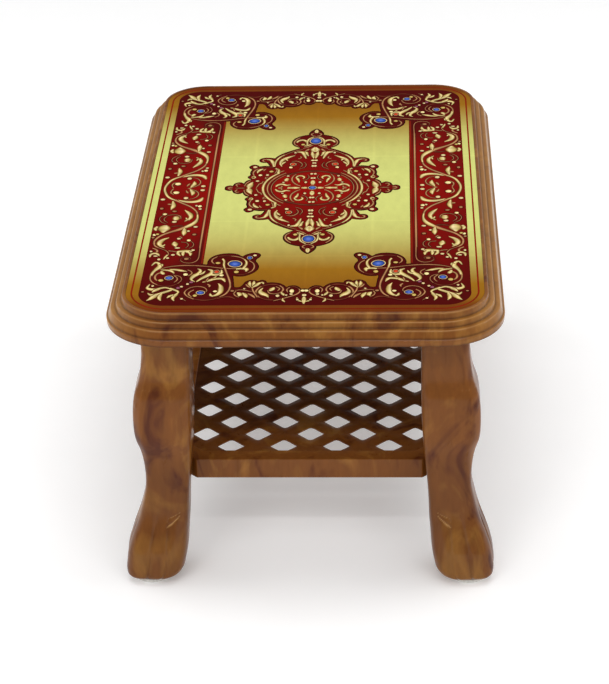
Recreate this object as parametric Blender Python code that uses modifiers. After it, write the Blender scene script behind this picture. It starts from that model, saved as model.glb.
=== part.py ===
"""Low four-legged reading table: moulded top, inlaid panel, carved legs and a lattice shelf.

Width runs along X, length along Y, height along Z. The origin is on the floor, under
the middle of the table. All sizes are in metres.
"""
import math

import bmesh
import bpy
import numpy as np
from mathutils import Matrix, Vector

MM = 0.001
FIT_GAP = 0.3 * MM            # air between two solids that touch on the real table

# Table top: a moulded tray turned upside down
TABLE_HEIGHT = 326 * MM
DECK_HALF_WIDTH = 185 * MM    # flat part of the top, before the stepped rim starts
DECK_HALF_LENGTH = 296 * MM
DECK_CORNER_RADIUS = 47 * MM
DECK_THICKNESS = 3.1 * MM
CORNER_STEPS = 6              # straight pieces in each rounded corner
PANEL_INSET = 1.5 * MM        # from the edge of the flat part to the edge of the panel
PANEL_THICKNESS = 0.8 * MM
PANEL_RECESS = PANEL_THICKNESS + FIT_GAP

# Stepped rim, as (outward from the edge of the flat part, down from the top)
RIM_OUTER = [
    (0.3, 0.0), (1.5, 0.5), (2.3, 1.8), (3.3, 6.2), (4.4, 7.0),
    (7.4, 7.2), (8.6, 8.3), (9.6, 12.8), (10.6, 13.5),
    (13.6, 13.7), (15.0, 14.9), (17.6, 21.6), (19.0, 22.8), (19.7, 25.0), (19.2, 28.0),
]
RIM_INNER = [
    (16.4, 28.0), (16.0, 24.0), (14.2, 21.4), (12.4, 17.2), (7.2, 16.4),
    (6.0, 10.6), (1.0, 9.8), (-0.6, 7.4),
]

# Ribs under the deck
RIB_THICKNESS = 1.8 * MM
RIB_DEPTH = 10 * MM
RIB_PITCH_X = 68 * MM
RIB_PITCH_Y = 84.8 * MM
RIBS_EACH_WAY_X = 2           # on each side of the middle one
RIBS_EACH_WAY_Y = 3
RIB_OVERLAP = 1 * MM          # how far a rib is sunk into the deck and the rim

# Legs: (height above the floor, middle along X, half width)
LEG_STATIONS = [
    (4.3, 170.0, 20.0), (5.6, 169.4, 24.6), (9.0, 168.0, 28.4), (14.0, 166.4, 30.8),
    (23.0, 164.6, 31.9), (35.0, 162.6, 32.1), (52.0, 159.2, 30.1), (70.0, 155.0, 27.3),
    (90.0, 151.8, 24.8), (108.0, 149.4, 23.5), (132.0, 148.2, 24.5), (152.0, 148.7, 26.7),
    (170.0, 150.3, 29.6), (190.0, 150.3, 30.7), (206.0, 149.8, 30.6), (220.0, 148.8, 29.7),
    (237.0, 146.0, 27.0), (256.0, 144.5, 25.5), (320.0, 144.5, 25.5),
]
LEG_DIAGONAL = 111 * MM       # the middle of a leg lies this much further out along Y than along X
LEG_WALL = 3.5 * MM
LEG_SIDES = 20
LEG_HOLLOW_FLOOR = 35 * MM    # the foot is solid below this height
SECTION_POWER_TOP = 7.0       # how square the leg's section is, at the top and at the foot
SECTION_POWER_FOOT = 3.2
SECTION_POWER_HEIGHTS = (60 * MM, 130 * MM)

# Sockets under the deck that take the legs
SOCKET_WALL = 3 * MM
SOCKET_DEPTH = 27 * MM
SOCKET_ROOF = 4.5 * MM        # below the top of the table

# Shelf
SHELF_TOP = 122 * MM
SHELF_HALF_WIDTH = 152 * MM
SHELF_HALF_LENGTH = 246.4 * MM
SHELF_CORNER_CUT = 34.4 * MM
SHELF_FRAME_WIDTH = 18 * MM
SHELF_FRAME_THICKNESS = 3.5 * MM
SHELF_SKIRT = 23 * MM
SHELF_WALL = 3 * MM
SHELF_EDGE = 1.2 * MM
LATTICE_THICKNESS = 2.4 * MM
LATTICE_DROP = 0.5 * MM       # lattice lies this far below the frame
LATTICE_PITCH = 56.8 * MM     # across the table
LATTICE_ROWS = 18
LATTICE_FIRST_ROW = 216.6 * MM
HOLE_HALF_WIDTH = 15.2 * MM
HOLE_HALF_LENGTH = 15.0 * MM
HOLE_TIP_ROUNDING = 0.16      # share of each side that the rounded front and back tips take
HOLE_CLIP = 226 * MM          # holes end here, at the frame

# Screws and glides
SCREW_SHANK_RADIUS = 2.0 * MM
SCREW_HEAD_RADIUS = 4.0 * MM
SCREW_HEAD_HEIGHT = 2.6 * MM
SCREW_LENGTH = 13 * MM
SCREW_HOLE_RADIUS = SCREW_SHANK_RADIUS + FIT_GAP
SCREW_SLOT_WIDTH = 1.1 * MM
SCREW_SLOT_LENGTH = 4.4 * MM
SCREW_SLOT_DEPTH = 1.4 * MM
SCREW_SIDES = 12
LEG_SCREW_DROP = 20 * MM      # below the top of the table
SHELF_SCREW_HEIGHT = 110 * MM
BOSS_RADIUS = 6.5 * MM
BOSS_LENGTH = 9 * MM
GLIDE_RADIUS = 17 * MM
GLIDE_THICKNESS = 4 * MM
GLIDE_EDGE = 1.4 * MM
GLIDE_STUD_RADIUS = 5 * MM
GLIDE_STUD_TOP = 11 * MM
GLIDE_SIDES = 20

CORNERS = {
    "front_left": (-1, -1),
    "front_right": (1, -1),
    "rear_left": (-1, 1),
    "rear_right": (1, 1),
}


# ---------------------------------------------------------------- scene and materials

def clear_scene():
    """Remove every object, so that the model is all that the scene holds."""
    for thing in list(bpy.data.objects):
        bpy.data.objects.remove(thing, do_unlink=True)


def new_collection(name):
    """A collection under the scene's own."""
    collection = bpy.data.collections.new(name)
    bpy.context.scene.collection.children.link(collection)
    return collection


def new_material(name, colour, roughness, metallic=0.0):
    """A plain Principled material."""
    material = bpy.data.materials.new(name)
    material.use_nodes = True
    shader = material.node_tree.nodes["Principled BSDF"]
    shader.inputs["Base Color"].default_value = (*colour, 1.0)
    shader.inputs["Roughness"].default_value = roughness
    shader.inputs["Metallic"].default_value = metallic
    material.diffuse_color = (*colour, 1.0)
    return material


def add_object(name, mesh, collection, material=None):
    """Put a mesh into the scene as a named object."""
    thing = bpy.data.objects.new(name, mesh)
    collection.objects.link(thing)
    if material is not None:
        mesh.materials.append(material)
    return thing


def mesh_from_bmesh(name, bm):
    """Turn a bmesh into a mesh whose faces point outwards."""
    bmesh.ops.recalc_face_normals(bm, faces=bm.faces)
    mesh = bpy.data.meshes.new(name)
    bm.to_mesh(mesh)
    bm.free()
    return mesh


def shade_round(mesh, angle=35):
    """Smooth shading that keeps edges sharper than the angle."""
    mesh.shade_smooth()
    mesh.set_sharp_from_angle(angle=math.radians(angle))


def as_guide(thing):
    """Mark an object as a cutter or a filler that isn't part of the table."""
    thing.hide_render = True
    thing.display_type = "WIRE"
    return thing


def combine(target, operand, operation):
    """Join or cut the target with a guide object."""
    modifier = target.modifiers.new(operand.name, "BOOLEAN")
    modifier.operation = operation
    modifier.solver = "EXACT"
    modifier.object = operand


# ---------------------------------------------------------------- outlines and lofts

def rounded_outline(half_width, half_length, radius, height):
    """A rectangle with rounded corners, counter-clockwise, as points at one height."""
    points = []
    turn = math.pi / 2
    signs = [(1, 1), (-1, 1), (-1, -1), (1, -1)]
    for quarter, (side_x, side_y) in enumerate(signs):
        centre_x = side_x * (half_width - radius)
        centre_y = side_y * (half_length - radius)
        for step in range(CORNER_STEPS + 1):
            angle = turn * (quarter + step / CORNER_STEPS)
            points.append((
                centre_x + radius * math.cos(angle),
                centre_y + radius * math.sin(angle),
                height,
            ))
    return points


def deck_outline(outward, height):
    """The outline of the table's top, moved outwards by a distance."""
    return rounded_outline(
        DECK_HALF_WIDTH + outward,
        DECK_HALF_LENGTH + outward,
        DECK_CORNER_RADIUS + outward,
        height,
    )


def shelf_outline(inset, height):
    """The shelf's outline with its corners cut off, moved inwards by a distance."""
    half_width = SHELF_HALF_WIDTH - inset
    half_length = SHELF_HALF_LENGTH - inset
    cut = SHELF_CORNER_CUT - inset * (2 - math.sqrt(2))
    corner = [(half_width, half_length - cut), (half_width - cut, half_length)]
    flipped = corner[::-1]
    points = [(x, y) for x, y in corner]
    points += [(-x, y) for x, y in flipped]
    points += [(-x, -y) for x, y in corner]
    points += [(x, -y) for x, y in flipped]
    return [(x, y, height) for x, y in points]


def loft(name, sections, closed=False):
    """Join sections of equal point count into a skin, closed on itself or capped."""
    bm = bmesh.new()
    rings = [[bm.verts.new(point) for point in section] for section in sections]
    pairs = list(zip(rings, rings[1:]))
    if closed:
        pairs.append((rings[-1], rings[0]))
    for lower, upper in pairs:
        for index in range(len(lower)):
            following = (index + 1) % len(lower)
            bm.faces.new((lower[index], lower[following], upper[following], upper[index]))
    if not closed:
        bm.faces.new(rings[0])
        bm.faces.new(rings[-1])
    return mesh_from_bmesh(name, bm)


def flat_plate(name, outlines, low, high, collection, material=None):
    """A flat plate from a 2D curve: the first outline is its edge, the others are holes."""
    curve = bpy.data.curves.new(name, "CURVE")
    curve.dimensions = "2D"
    curve.fill_mode = "BOTH"
    curve.extrude = (high - low) / 2
    for outline in outlines:
        spline = curve.splines.new("POLY")
        spline.points.add(len(outline) - 1)
        for point, place in zip(spline.points, outline):
            point.co = (place[0], place[1], 0.0, 1.0)
        spline.use_cyclic_u = True
    source = bpy.data.objects.new(name + "_outline", curve)
    source.location.z = (high + low) / 2
    collection.objects.link(source)
    bpy.context.view_layer.update()
    evaluated = source.evaluated_get(bpy.context.evaluated_depsgraph_get())
    mesh = bpy.data.meshes.new_from_object(evaluated)
    place = source.matrix_world.copy()
    bpy.data.objects.remove(source, do_unlink=True)
    bm = bmesh.new()
    bm.from_mesh(mesh)
    bmesh.ops.remove_doubles(bm, verts=bm.verts, dist=0.01 * MM)
    bmesh.ops.recalc_face_normals(bm, faces=bm.faces)
    bm.to_mesh(mesh)
    bm.free()
    mesh.name = name
    plate = add_object(name, mesh, collection, material)
    plate.matrix_world = place
    return plate


def box_guide(name, low, high, collection):
    """A box between two opposite corners, used to join or to cut."""
    bm = bmesh.new()
    bmesh.ops.create_cube(bm, size=1.0)
    size = Vector(high) - Vector(low)
    middle = (Vector(high) + Vector(low)) / 2
    bmesh.ops.scale(bm, vec=size, verts=bm.verts)
    bmesh.ops.translate(bm, vec=middle, verts=bm.verts)
    return as_guide(add_object(name, mesh_from_bmesh(name, bm), collection))


def rod_guide(name, start, direction, length, radius, collection):
    """A round rod from a point along a direction, used to join or to cut."""
    bm = bmesh.new()
    bmesh.ops.create_cone(
        bm, cap_ends=True, segments=SCREW_SIDES, radius1=radius, radius2=radius, depth=length)
    turn = Vector((0, 0, 1)).rotation_difference(Vector(direction)).to_matrix().to_4x4()
    middle = Vector(start) + Vector(direction).normalized() * length / 2
    bmesh.ops.transform(bm, matrix=Matrix.Translation(middle) @ turn, verts=bm.verts)
    return as_guide(add_object(name, mesh_from_bmesh(name, bm), collection))


def turned(name, profile, sides, place, collection, material):
    """A turned piece: a profile at +X, listed from top to bottom, spun about Z."""
    mesh = bpy.data.meshes.new(name)
    edges = [(index, index + 1) for index in range(len(profile) - 1)]
    mesh.from_pydata([(radius, 0.0, height) for radius, height in profile], edges, [])
    piece = add_object(name, mesh, collection, material)
    spin = piece.modifiers.new("spin", "SCREW")
    spin.axis = "Z"
    spin.angle = 2 * math.pi
    spin.steps = sides
    spin.render_steps = sides
    spin.use_merge_vertices = True
    spin.merge_threshold = 0.01 * MM
    spin.use_normal_calculate = True
    piece.matrix_world = place
    return piece


# ---------------------------------------------------------------- table top and panel

def make_table_top(parts, guides, material):
    """The moulded top: deck, stepped rim, ribs and the four leg sockets in one shell."""
    outer = [
        deck_outline(outward * MM, TABLE_HEIGHT - down * MM)
        for outward, down in reversed(RIM_OUTER)
    ]
    recess_edge = FIT_GAP - PANEL_INSET
    recess = [
        deck_outline(recess_edge, TABLE_HEIGHT),
        deck_outline(recess_edge, TABLE_HEIGHT - PANEL_RECESS),
    ]
    inner = [
        deck_outline(outward * MM, TABLE_HEIGHT - down * MM)
        for outward, down in RIM_INNER
    ]
    underside = TABLE_HEIGHT - PANEL_RECESS - DECK_THICKNESS
    inner.append(deck_outline(-3 * MM, underside))
    sections = inner[::-1] + outer + recess
    mesh = loft("table_top", sections)
    top = add_object("table_top", mesh, parts, material)

    rib_low = underside - RIB_DEPTH
    rib_high = underside + RIB_OVERLAP
    reach_x = DECK_HALF_WIDTH
    reach_y = DECK_HALF_LENGTH
    half = RIB_THICKNESS / 2
    for index in range(-RIBS_EACH_WAY_X, RIBS_EACH_WAY_X + 1):
        middle = index * RIB_PITCH_X
        rib = box_guide(
            f"rib_long_{index + RIBS_EACH_WAY_X}",
            (middle - half, -reach_y, rib_low), (middle + half, reach_y, rib_high), guides)
        combine(top, rib, "UNION")
    for index in range(-RIBS_EACH_WAY_Y, RIBS_EACH_WAY_Y + 1):
        middle = index * RIB_PITCH_Y
        rib = box_guide(
            f"rib_cross_{index + RIBS_EACH_WAY_Y}",
            (-reach_x, middle - half, rib_low), (reach_x, middle + half, rib_high), guides)
        combine(top, rib, "UNION")

    leg_half = LEG_STATIONS[-1][2] * MM
    room = leg_half + FIT_GAP
    for corner, (side_x, side_y) in CORNERS.items():
        middle = leg_axis(side_x, side_y, TABLE_HEIGHT)
        outside = Vector((room + SOCKET_WALL, room + SOCKET_WALL, 0))
        socket = box_guide(
            f"socket_{corner}",
            Vector((middle.x, middle.y, TABLE_HEIGHT - SOCKET_DEPTH)) - outside,
            Vector((middle.x, middle.y, underside + RIB_OVERLAP / 2)) + outside, guides)
        combine(top, socket, "UNION")
    for corner, (side_x, side_y) in CORNERS.items():
        middle = leg_axis(side_x, side_y, TABLE_HEIGHT)
        inside = Vector((room, room, 0))
        hollow = box_guide(
            f"socket_hollow_{corner}",
            Vector((middle.x, middle.y, TABLE_HEIGHT - 2 * SOCKET_DEPTH)) - inside,
            Vector((middle.x, middle.y, TABLE_HEIGHT - SOCKET_ROOF)) + inside, guides)
        combine(top, hollow, "DIFFERENCE")
        for name, start, direction in leg_screw_lines(side_x, side_y):
            hole = rod_guide(
                f"socket_hole_{corner}_{name}",
                start - direction * 4 * MM, direction, 10 * MM, SCREW_HOLE_RADIUS, guides)
            combine(top, hole, "DIFFERENCE")
    return top


def make_printed_panel(parts, material):
    """The thin inlaid sheet that carries the ornament."""
    outline = deck_outline(-PANEL_INSET, 0)
    return flat_plate(
        "printed_panel", [outline], TABLE_HEIGHT - PANEL_THICKNESS, TABLE_HEIGHT,
        parts, material)


# ---------------------------------------------------------------- legs

def leg_axis(side_x, side_y, height):
    """The middle of a leg at a height, for the corner with the given signs."""
    table = np.array(LEG_STATIONS) * MM
    middle = float(np.interp(height, table[:, 0], table[:, 1]))
    return Vector((side_x * middle, side_y * (middle + LEG_DIAGONAL), height))


def leg_section(side_x, side_y, height, half, middle, wall=0.0):
    """A rounded square about the leg's middle: |x|^p + |y|^p = half^p."""
    low, high = SECTION_POWER_HEIGHTS
    blend = min(max((height - low) / (high - low), 0.0), 1.0)
    power = SECTION_POWER_FOOT + (SECTION_POWER_TOP - SECTION_POWER_FOOT) * blend
    points = []
    for index in range(LEG_SIDES):
        angle = 2 * math.pi * (index + 0.5) / LEG_SIDES
        across = abs(math.cos(angle))
        along = abs(math.sin(angle))
        reach = (half - wall) / (across ** power + along ** power) ** (1 / power)
        x = middle + reach * math.cos(angle)
        y = middle + LEG_DIAGONAL + reach * math.sin(angle)
        points.append((side_x * x, side_y * y, height))
    return points


def leg_screw_lines(side_x, side_y):
    """Where a leg's two screws pass through the socket's inner walls, and which way."""
    middle = leg_axis(side_x, side_y, TABLE_HEIGHT)
    face = LEG_STATIONS[-1][2] * MM + FIT_GAP + SOCKET_WALL
    height = TABLE_HEIGHT - LEG_SCREW_DROP
    return [
        ("a", Vector((middle.x - side_x * face, middle.y, height)), Vector((side_x, 0, 0))),
        ("b", Vector((middle.x, middle.y - side_y * face, height)), Vector((0, side_y, 0))),
    ]


def shelf_screw_line(side_x, side_y):
    """Where the leg's diagonal meets the shelf's cut corner, and the way out."""
    outward = Vector((side_x, side_y, 0)).normalized()
    reach = (SHELF_HALF_WIDTH + SHELF_HALF_LENGTH - SHELF_CORNER_CUT) / math.sqrt(2)
    sideways = LEG_DIAGONAL / math.sqrt(2)
    across = Vector((-side_x, side_y, 0)).normalized()
    outer_face = outward * reach + across * sideways
    outer_face.z = SHELF_SCREW_HEIGHT
    return outer_face, outward


def make_leg(corner, parts, guides, material):
    """A hollow cabriole leg, open at the top, with a boss for the shelf's screw."""
    side_x, side_y = CORNERS[corner]
    stations = [(height * MM, middle * MM, half * MM) for height, middle, half in LEG_STATIONS]
    outer = [
        leg_section(side_x, side_y, height, half, middle)
        for height, middle, half in stations
    ]
    hollow = [
        leg_section(side_x, side_y, height, half, middle, LEG_WALL)
        for height, middle, half in stations[::-2] if height >= LEG_HOLLOW_FLOOR
    ]
    name = f"leg_{corner}"
    mesh = loft(name, outer + hollow)
    leg = add_object(name, mesh, parts, material)

    outer_face, outward = shelf_screw_line(side_x, side_y)
    boss = rod_guide(
        f"boss_{corner}", outer_face + outward * FIT_GAP, outward,
        BOSS_LENGTH, BOSS_RADIUS, guides)
    combine(leg, boss, "UNION")
    cutters = [rod_guide(
        f"leg_shelf_hole_{corner}", outer_face - outward * 2 * MM, outward,
        BOSS_LENGTH + 6 * MM, SCREW_HOLE_RADIUS, guides)]
    for label, start, direction in leg_screw_lines(side_x, side_y):
        cutters.append(rod_guide(
            f"leg_hole_{corner}_{label}", start + direction * (SOCKET_WALL - 1 * MM), direction,
            LEG_WALL + 4 * MM, SCREW_HOLE_RADIUS, guides))
    glide_middle = leg_axis(side_x, side_y, 0)
    cutters.append(rod_guide(
        f"glide_hole_{corner}", glide_middle, (0, 0, 1),
        GLIDE_STUD_TOP + 1 * MM, GLIDE_STUD_RADIUS + FIT_GAP, guides))
    for cutter in cutters:
        combine(leg, cutter, "DIFFERENCE")
    shade_round(mesh)
    return leg


def make_glide(corner, parts, material):
    """A low-friction foot pad with a stud that presses into the leg."""
    side_x, side_y = CORNERS[corner]
    profile = [
        (0.0, GLIDE_STUD_TOP), (GLIDE_STUD_RADIUS, GLIDE_STUD_TOP),
        (GLIDE_STUD_RADIUS, GLIDE_THICKNESS), (GLIDE_RADIUS, GLIDE_THICKNESS),
        (GLIDE_RADIUS, GLIDE_EDGE), (GLIDE_RADIUS - GLIDE_EDGE, 0.0), (0.0, 0.0),
    ]
    place = Matrix.Translation(leg_axis(side_x, side_y, 0))
    return turned(f"glide_{corner}", profile, GLIDE_SIDES, place, parts, material)


# ---------------------------------------------------------------- shelf

def hole_outline(middle_x, middle_y):
    """A diamond hole with sharp side tips and eased front and back tips."""
    ease = HOLE_TIP_ROUNDING
    quarter = [
        (HOLE_HALF_WIDTH, 0.0),
        (HOLE_HALF_WIDTH * ease, HOLE_HALF_LENGTH * (1 - ease)),
        (0.0, HOLE_HALF_LENGTH * (1 - ease * 0.6)),
    ]
    loop = quarter + [(-x, y) for x, y in quarter[1::-1]]
    loop += [(-x, -y) for x, y in quarter[1:]]
    loop.append((quarter[1][0], -quarter[1][1]))
    points = []
    for x, y in loop:
        along = max(min(middle_y + y, HOLE_CLIP), -HOLE_CLIP)
        points.append((middle_x + x, along))
    return points


def hole_centres():
    """Rows of holes, each row shifted by half a pitch from its neighbours."""
    step = 2 * LATTICE_FIRST_ROW / (LATTICE_ROWS - 1)
    field = (SHELF_HALF_WIDTH + SHELF_HALF_LENGTH - SHELF_CORNER_CUT
             - SHELF_FRAME_WIDTH * math.sqrt(2))
    centres = []
    for row in range(LATTICE_ROWS):
        y = -LATTICE_FIRST_ROW + row * step
        if row % 2 == 0:
            places = [-1.5, -0.5, 0.5, 1.5]
        else:
            places = [-2, -1, 0, 1, 2]
        for place in places:
            x = place * LATTICE_PITCH
            if abs(x) + HOLE_HALF_WIDTH + abs(y) < field:
                centres.append((x, y))
    return centres


def make_shelf(parts, guides, material):
    """The shelf: a skirted frame with cut corners and a lattice floor."""
    bottom = SHELF_TOP - SHELF_SKIRT
    under_frame = SHELF_TOP - SHELF_FRAME_THICKNESS
    sections = [
        shelf_outline(0, bottom),
        shelf_outline(0, SHELF_TOP - SHELF_EDGE),
        shelf_outline(SHELF_EDGE, SHELF_TOP),
        shelf_outline(SHELF_FRAME_WIDTH, SHELF_TOP),
        shelf_outline(SHELF_FRAME_WIDTH, under_frame),
        shelf_outline(SHELF_WALL, under_frame),
        shelf_outline(SHELF_WALL, bottom),
    ]
    mesh = loft("lattice_shelf", sections, closed=True)
    shelf = add_object("lattice_shelf", mesh, parts, material)

    field_edge = shelf_outline(SHELF_FRAME_WIDTH - 1.5 * MM, 0)
    lattice_high = SHELF_TOP - LATTICE_DROP
    outlines = [field_edge] + [hole_outline(x, y) for x, y in hole_centres()]
    lattice = flat_plate(
        "lattice_field", outlines, lattice_high - LATTICE_THICKNESS, lattice_high, guides)
    combine(shelf, as_guide(lattice), "UNION")
    for corner, (side_x, side_y) in CORNERS.items():
        outer_face, outward = shelf_screw_line(side_x, side_y)
        hole = rod_guide(
            f"shelf_hole_{corner}", outer_face - outward * (SHELF_WALL + 2 * MM), outward,
            SHELF_WALL + 4 * MM, SCREW_HOLE_RADIUS, guides)
        combine(shelf, hole, "DIFFERENCE")
    return shelf


# ---------------------------------------------------------------- screws

def make_screw(name, seat, direction, parts, guides, material):
    """A pan-head screw whose head rests on the seat and whose shank follows the direction."""
    head = SCREW_HEAD_RADIUS
    high = SCREW_HEAD_HEIGHT
    profile = [
        (0.0, high), (head * 0.75, high * 0.9), (head, high * 0.45),
        (head, 0.0), (SCREW_SHANK_RADIUS, 0.0), (SCREW_SHANK_RADIUS, -SCREW_LENGTH * 0.75),
        (0.0, -SCREW_LENGTH),
    ]
    inward = -Vector(direction).normalized()
    turn = Vector((0, 0, 1)).rotation_difference(inward).to_matrix().to_4x4()
    origin = Vector(seat) + inward * FIT_GAP
    place = Matrix.Translation(origin) @ turn
    screw = turned(name, profile, SCREW_SIDES, place, parts, material)
    sizes = [
        (SCREW_SLOT_LENGTH, SCREW_SLOT_WIDTH),
        (SCREW_SLOT_WIDTH, SCREW_SLOT_LENGTH),
    ]
    for index, (long_side, short_side) in enumerate(sizes):
        slot = box_guide(
            f"{name}_slot_{index}",
            (-long_side / 2, -short_side / 2, high - SCREW_SLOT_DEPTH),
            (long_side / 2, short_side / 2, high + 1 * MM), guides)
        slot.matrix_world = place
        combine(screw, slot, "DIFFERENCE")
    return screw


# ---------------------------------------------------------------- whole table

def build():
    """Make every piece of the table."""
    clear_scene()
    parts = new_collection("reading_table")
    guides = new_collection("cutters_and_fillers")
    moulding = new_material("sandalwood_plastic", (0.25, 0.09, 0.025), 0.25)
    print_film = new_material("printed_film", (0.60, 0.40, 0.06), 0.15)
    pad = new_material("white_polyethylene", (0.80, 0.80, 0.78), 0.45)
    steel = new_material("zinc_plated_steel", (0.60, 0.60, 0.58), 0.35, metallic=1.0)

    make_table_top(parts, guides, moulding)
    make_printed_panel(parts, print_film)
    make_shelf(parts, guides, moulding)
    for corner, (side_x, side_y) in CORNERS.items():
        make_leg(corner, parts, guides, moulding)
        make_glide(corner, parts, pad)
        for label, start, direction in leg_screw_lines(side_x, side_y):
            make_screw(f"leg_screw_{corner}_{label}", start, direction, parts, guides, steel)
        outer_face, outward = shelf_screw_line(side_x, side_y)
        make_screw(
            f"shelf_screw_{corner}", outer_face - outward * SHELF_WALL, outward,
            parts, guides, steel)


build()
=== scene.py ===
"""Looks for a low four-legged reading table: glossy moulded body, printed panel, lattice shelf.

The part's own solids are loaded as a fixed frame, and every visible piece is a surface
worked out with numpy in the same place. All lengths are in metres unless a name says mm.
"""

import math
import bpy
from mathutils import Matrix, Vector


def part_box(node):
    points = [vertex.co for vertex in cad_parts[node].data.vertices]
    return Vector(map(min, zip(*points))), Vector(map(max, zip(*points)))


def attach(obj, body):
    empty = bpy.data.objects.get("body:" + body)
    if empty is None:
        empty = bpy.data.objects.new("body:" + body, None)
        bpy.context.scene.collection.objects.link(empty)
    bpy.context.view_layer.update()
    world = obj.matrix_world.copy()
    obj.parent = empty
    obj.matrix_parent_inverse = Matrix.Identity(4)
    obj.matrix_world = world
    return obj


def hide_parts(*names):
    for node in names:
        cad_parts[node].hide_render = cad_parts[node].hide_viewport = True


bl_info = {
    "name": "Carved reading table",
    "version": (1, 0, 0),
    "blender": (4, 5, 0),
    "location": "View3D > Sidebar > Reading Table",
    "description": "Builds the visible pieces of a low reading table around its fixed frame",
    "category": "Add Mesh",
}

import bmesh
import bpy
import numpy as np
from mathutils import Matrix, Vector

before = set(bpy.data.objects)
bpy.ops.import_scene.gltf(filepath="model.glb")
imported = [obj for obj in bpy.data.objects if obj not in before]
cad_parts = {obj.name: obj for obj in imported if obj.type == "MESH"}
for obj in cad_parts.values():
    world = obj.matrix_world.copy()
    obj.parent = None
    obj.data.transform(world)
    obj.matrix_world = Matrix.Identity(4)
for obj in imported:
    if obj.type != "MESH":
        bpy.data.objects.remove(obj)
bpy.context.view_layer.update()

MM = 0.001
SIDES = {
    "front_left": (-1, -1),
    "front_right": (1, -1),
    "rear_left": (-1, 1),
    "rear_right": (1, 1),
}
TOP_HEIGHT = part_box("table_top")[1].z
PANEL_LOW, PANEL_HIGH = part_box("printed_panel")
SHELF_LOW, SHELF_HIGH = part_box("lattice_shelf")
PANEL_INSET = 1.5 * MM        # from the edge of the flat top to the edge of the panel
FILM_TOP = PANEL_HIGH.z - 0.3 * MM
FILM_THICKNESS = 0.45 * MM

# Stepped rim: (outward from the flat part, down from the top, rounding), all in mm
RIM_OUTSIDE_MM = [
    (0.3, 0.0, 0.0), (2.1, 0.0, 1.5), (3.6, 6.9, 0.7), (8.3, 7.1, 1.5), (9.9, 13.5, 0.7),
    (14.5, 13.7, 1.8), (17.7, 22.0, 0.9), (19.7, 22.9, 1.2), (19.4, 29.3, 0.5),
    (16.4, 29.3, 0.4), (16.0, 24.0, 1.0), (13.4, 17.4, 1.0), (7.2, 16.4, 1.0),
    (5.8, 10.6, 0.8), (0.8, 9.8, 0.8), (-0.8, 5.2, 0.8), (-4.0, 4.2, 0.0),
]
# Where the rim's ridges get a painted highlight and its creases a painted shade, on the same profile
RIDGE_HIGHLIGHTS_MM = ((1.8, 0.3), (8.0, 7.4), (14.1, 14.1))
CREASE_SHADES_MM = ((3.5, 6.5), (9.7, 13.1), (17.5, 21.6), (19.5, 29.0))
RECESS_MM = [(-4.0, 1.1, 0.0), (-1.2, 1.1, 0.0), (-1.2, 0.0, 0.25)]

# Legs: (height, middle along X, half width), all in mm
LEG_STATIONS_MM = np.array([
    (4.6, 170.0, 17.0), (6.2, 169.4, 22.6), (9.4, 168.0, 28.0), (14.0, 166.4, 30.8),
    (23.0, 164.6, 31.9), (35.0, 162.6, 32.1), (52.0, 159.2, 30.1), (70.0, 155.0, 27.3),
    (90.0, 151.8, 24.8), (108.0, 149.4, 23.5), (132.0, 148.2, 24.5), (152.0, 148.7, 26.7),
    (170.0, 150.3, 29.6), (190.0, 150.3, 30.7), (206.0, 149.8, 30.6), (220.0, 148.8, 29.7),
    (237.0, 146.0, 27.0), (256.0, 144.5, 25.5), (320.0, 144.5, 25.5),
])
LEG_DIAGONAL_MM = 111.0       # how much further out along Y than along X a leg's middle lies
LEG_WALL_MM = 3.5
LEG_HOLLOW_FLOOR_MM = 35.0    # the foot is solid below this height
FOOT_POWER, TOP_POWER = 3.2, 7.0          # how square the section is, at the foot and the top
FOOT_POWER_MM, TOP_POWER_MM = 60.0, 130.0

# Ribs and leg sockets under the top, in mm
RIB_PITCH_MM = (68.0, 84.8)
RIBS_EACH_WAY = (2, 3)        # on each side of the middle one
RIB_HALF_WIDTH_MM = 0.9
RIB_DEPTH_MM = 10.0
RIB_OVERLAP_MM = 1.0          # how far a rib is sunk into the deck and the rim
UNDERSIDE_DOWN_MM = 4.2       # from the top of the rim to the underside of the deck
SOCKET_MIDDLE_MM = (144.5, 144.5 + LEG_DIAGONAL_MM)
SOCKET_HALF_MM = 28.8
SOCKET_CLEARANCE_MM = 28.6    # the outermost ribs stop this far from a socket's middle

# Shelf: half width and half length, and how much of each corner is cut away, in mm
SHELF_HALF_MM = (152.0, 246.4)
SHELF_CUT_MM = 31.0
LATTICE_DOWN_MM = 1.0         # from the frame's top to the lattice's
LATTICE_THICKNESS_MM = 2.2
LATTICE_ROWS = 18
LATTICE_STEP_MM = (28.4, 2 * 216.6 / (LATTICE_ROWS - 1))
LATTICE_MARGIN_MM = 9.0       # the lattice's border is hidden this far inside the frame's flange


# ---------------------------------------------------------------- settings a user may change

def linear(red, green, blue):
    """Linear light of a colour given in the usual 0 to 255 steps."""
    steps = np.array([red, green, blue]) / 255
    low = steps / 12.92
    high = ((steps + 0.055) / 1.055) ** 2.4
    return tuple(float(value) for value in np.where(steps <= 0.04045, low, high))


def colour_setting(name, description, steps):
    """A colour that shows in the sidebar."""
    return bpy.props.FloatVectorProperty(
        name=name, description=description, subtype="COLOR", size=3, min=0, max=1,
        default=linear(*steps))


def length_setting(name, description, value):
    """A length that shows in the sidebar."""
    return bpy.props.FloatProperty(
        name=name, description=description, default=value, unit="LENGTH", precision=5)


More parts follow.
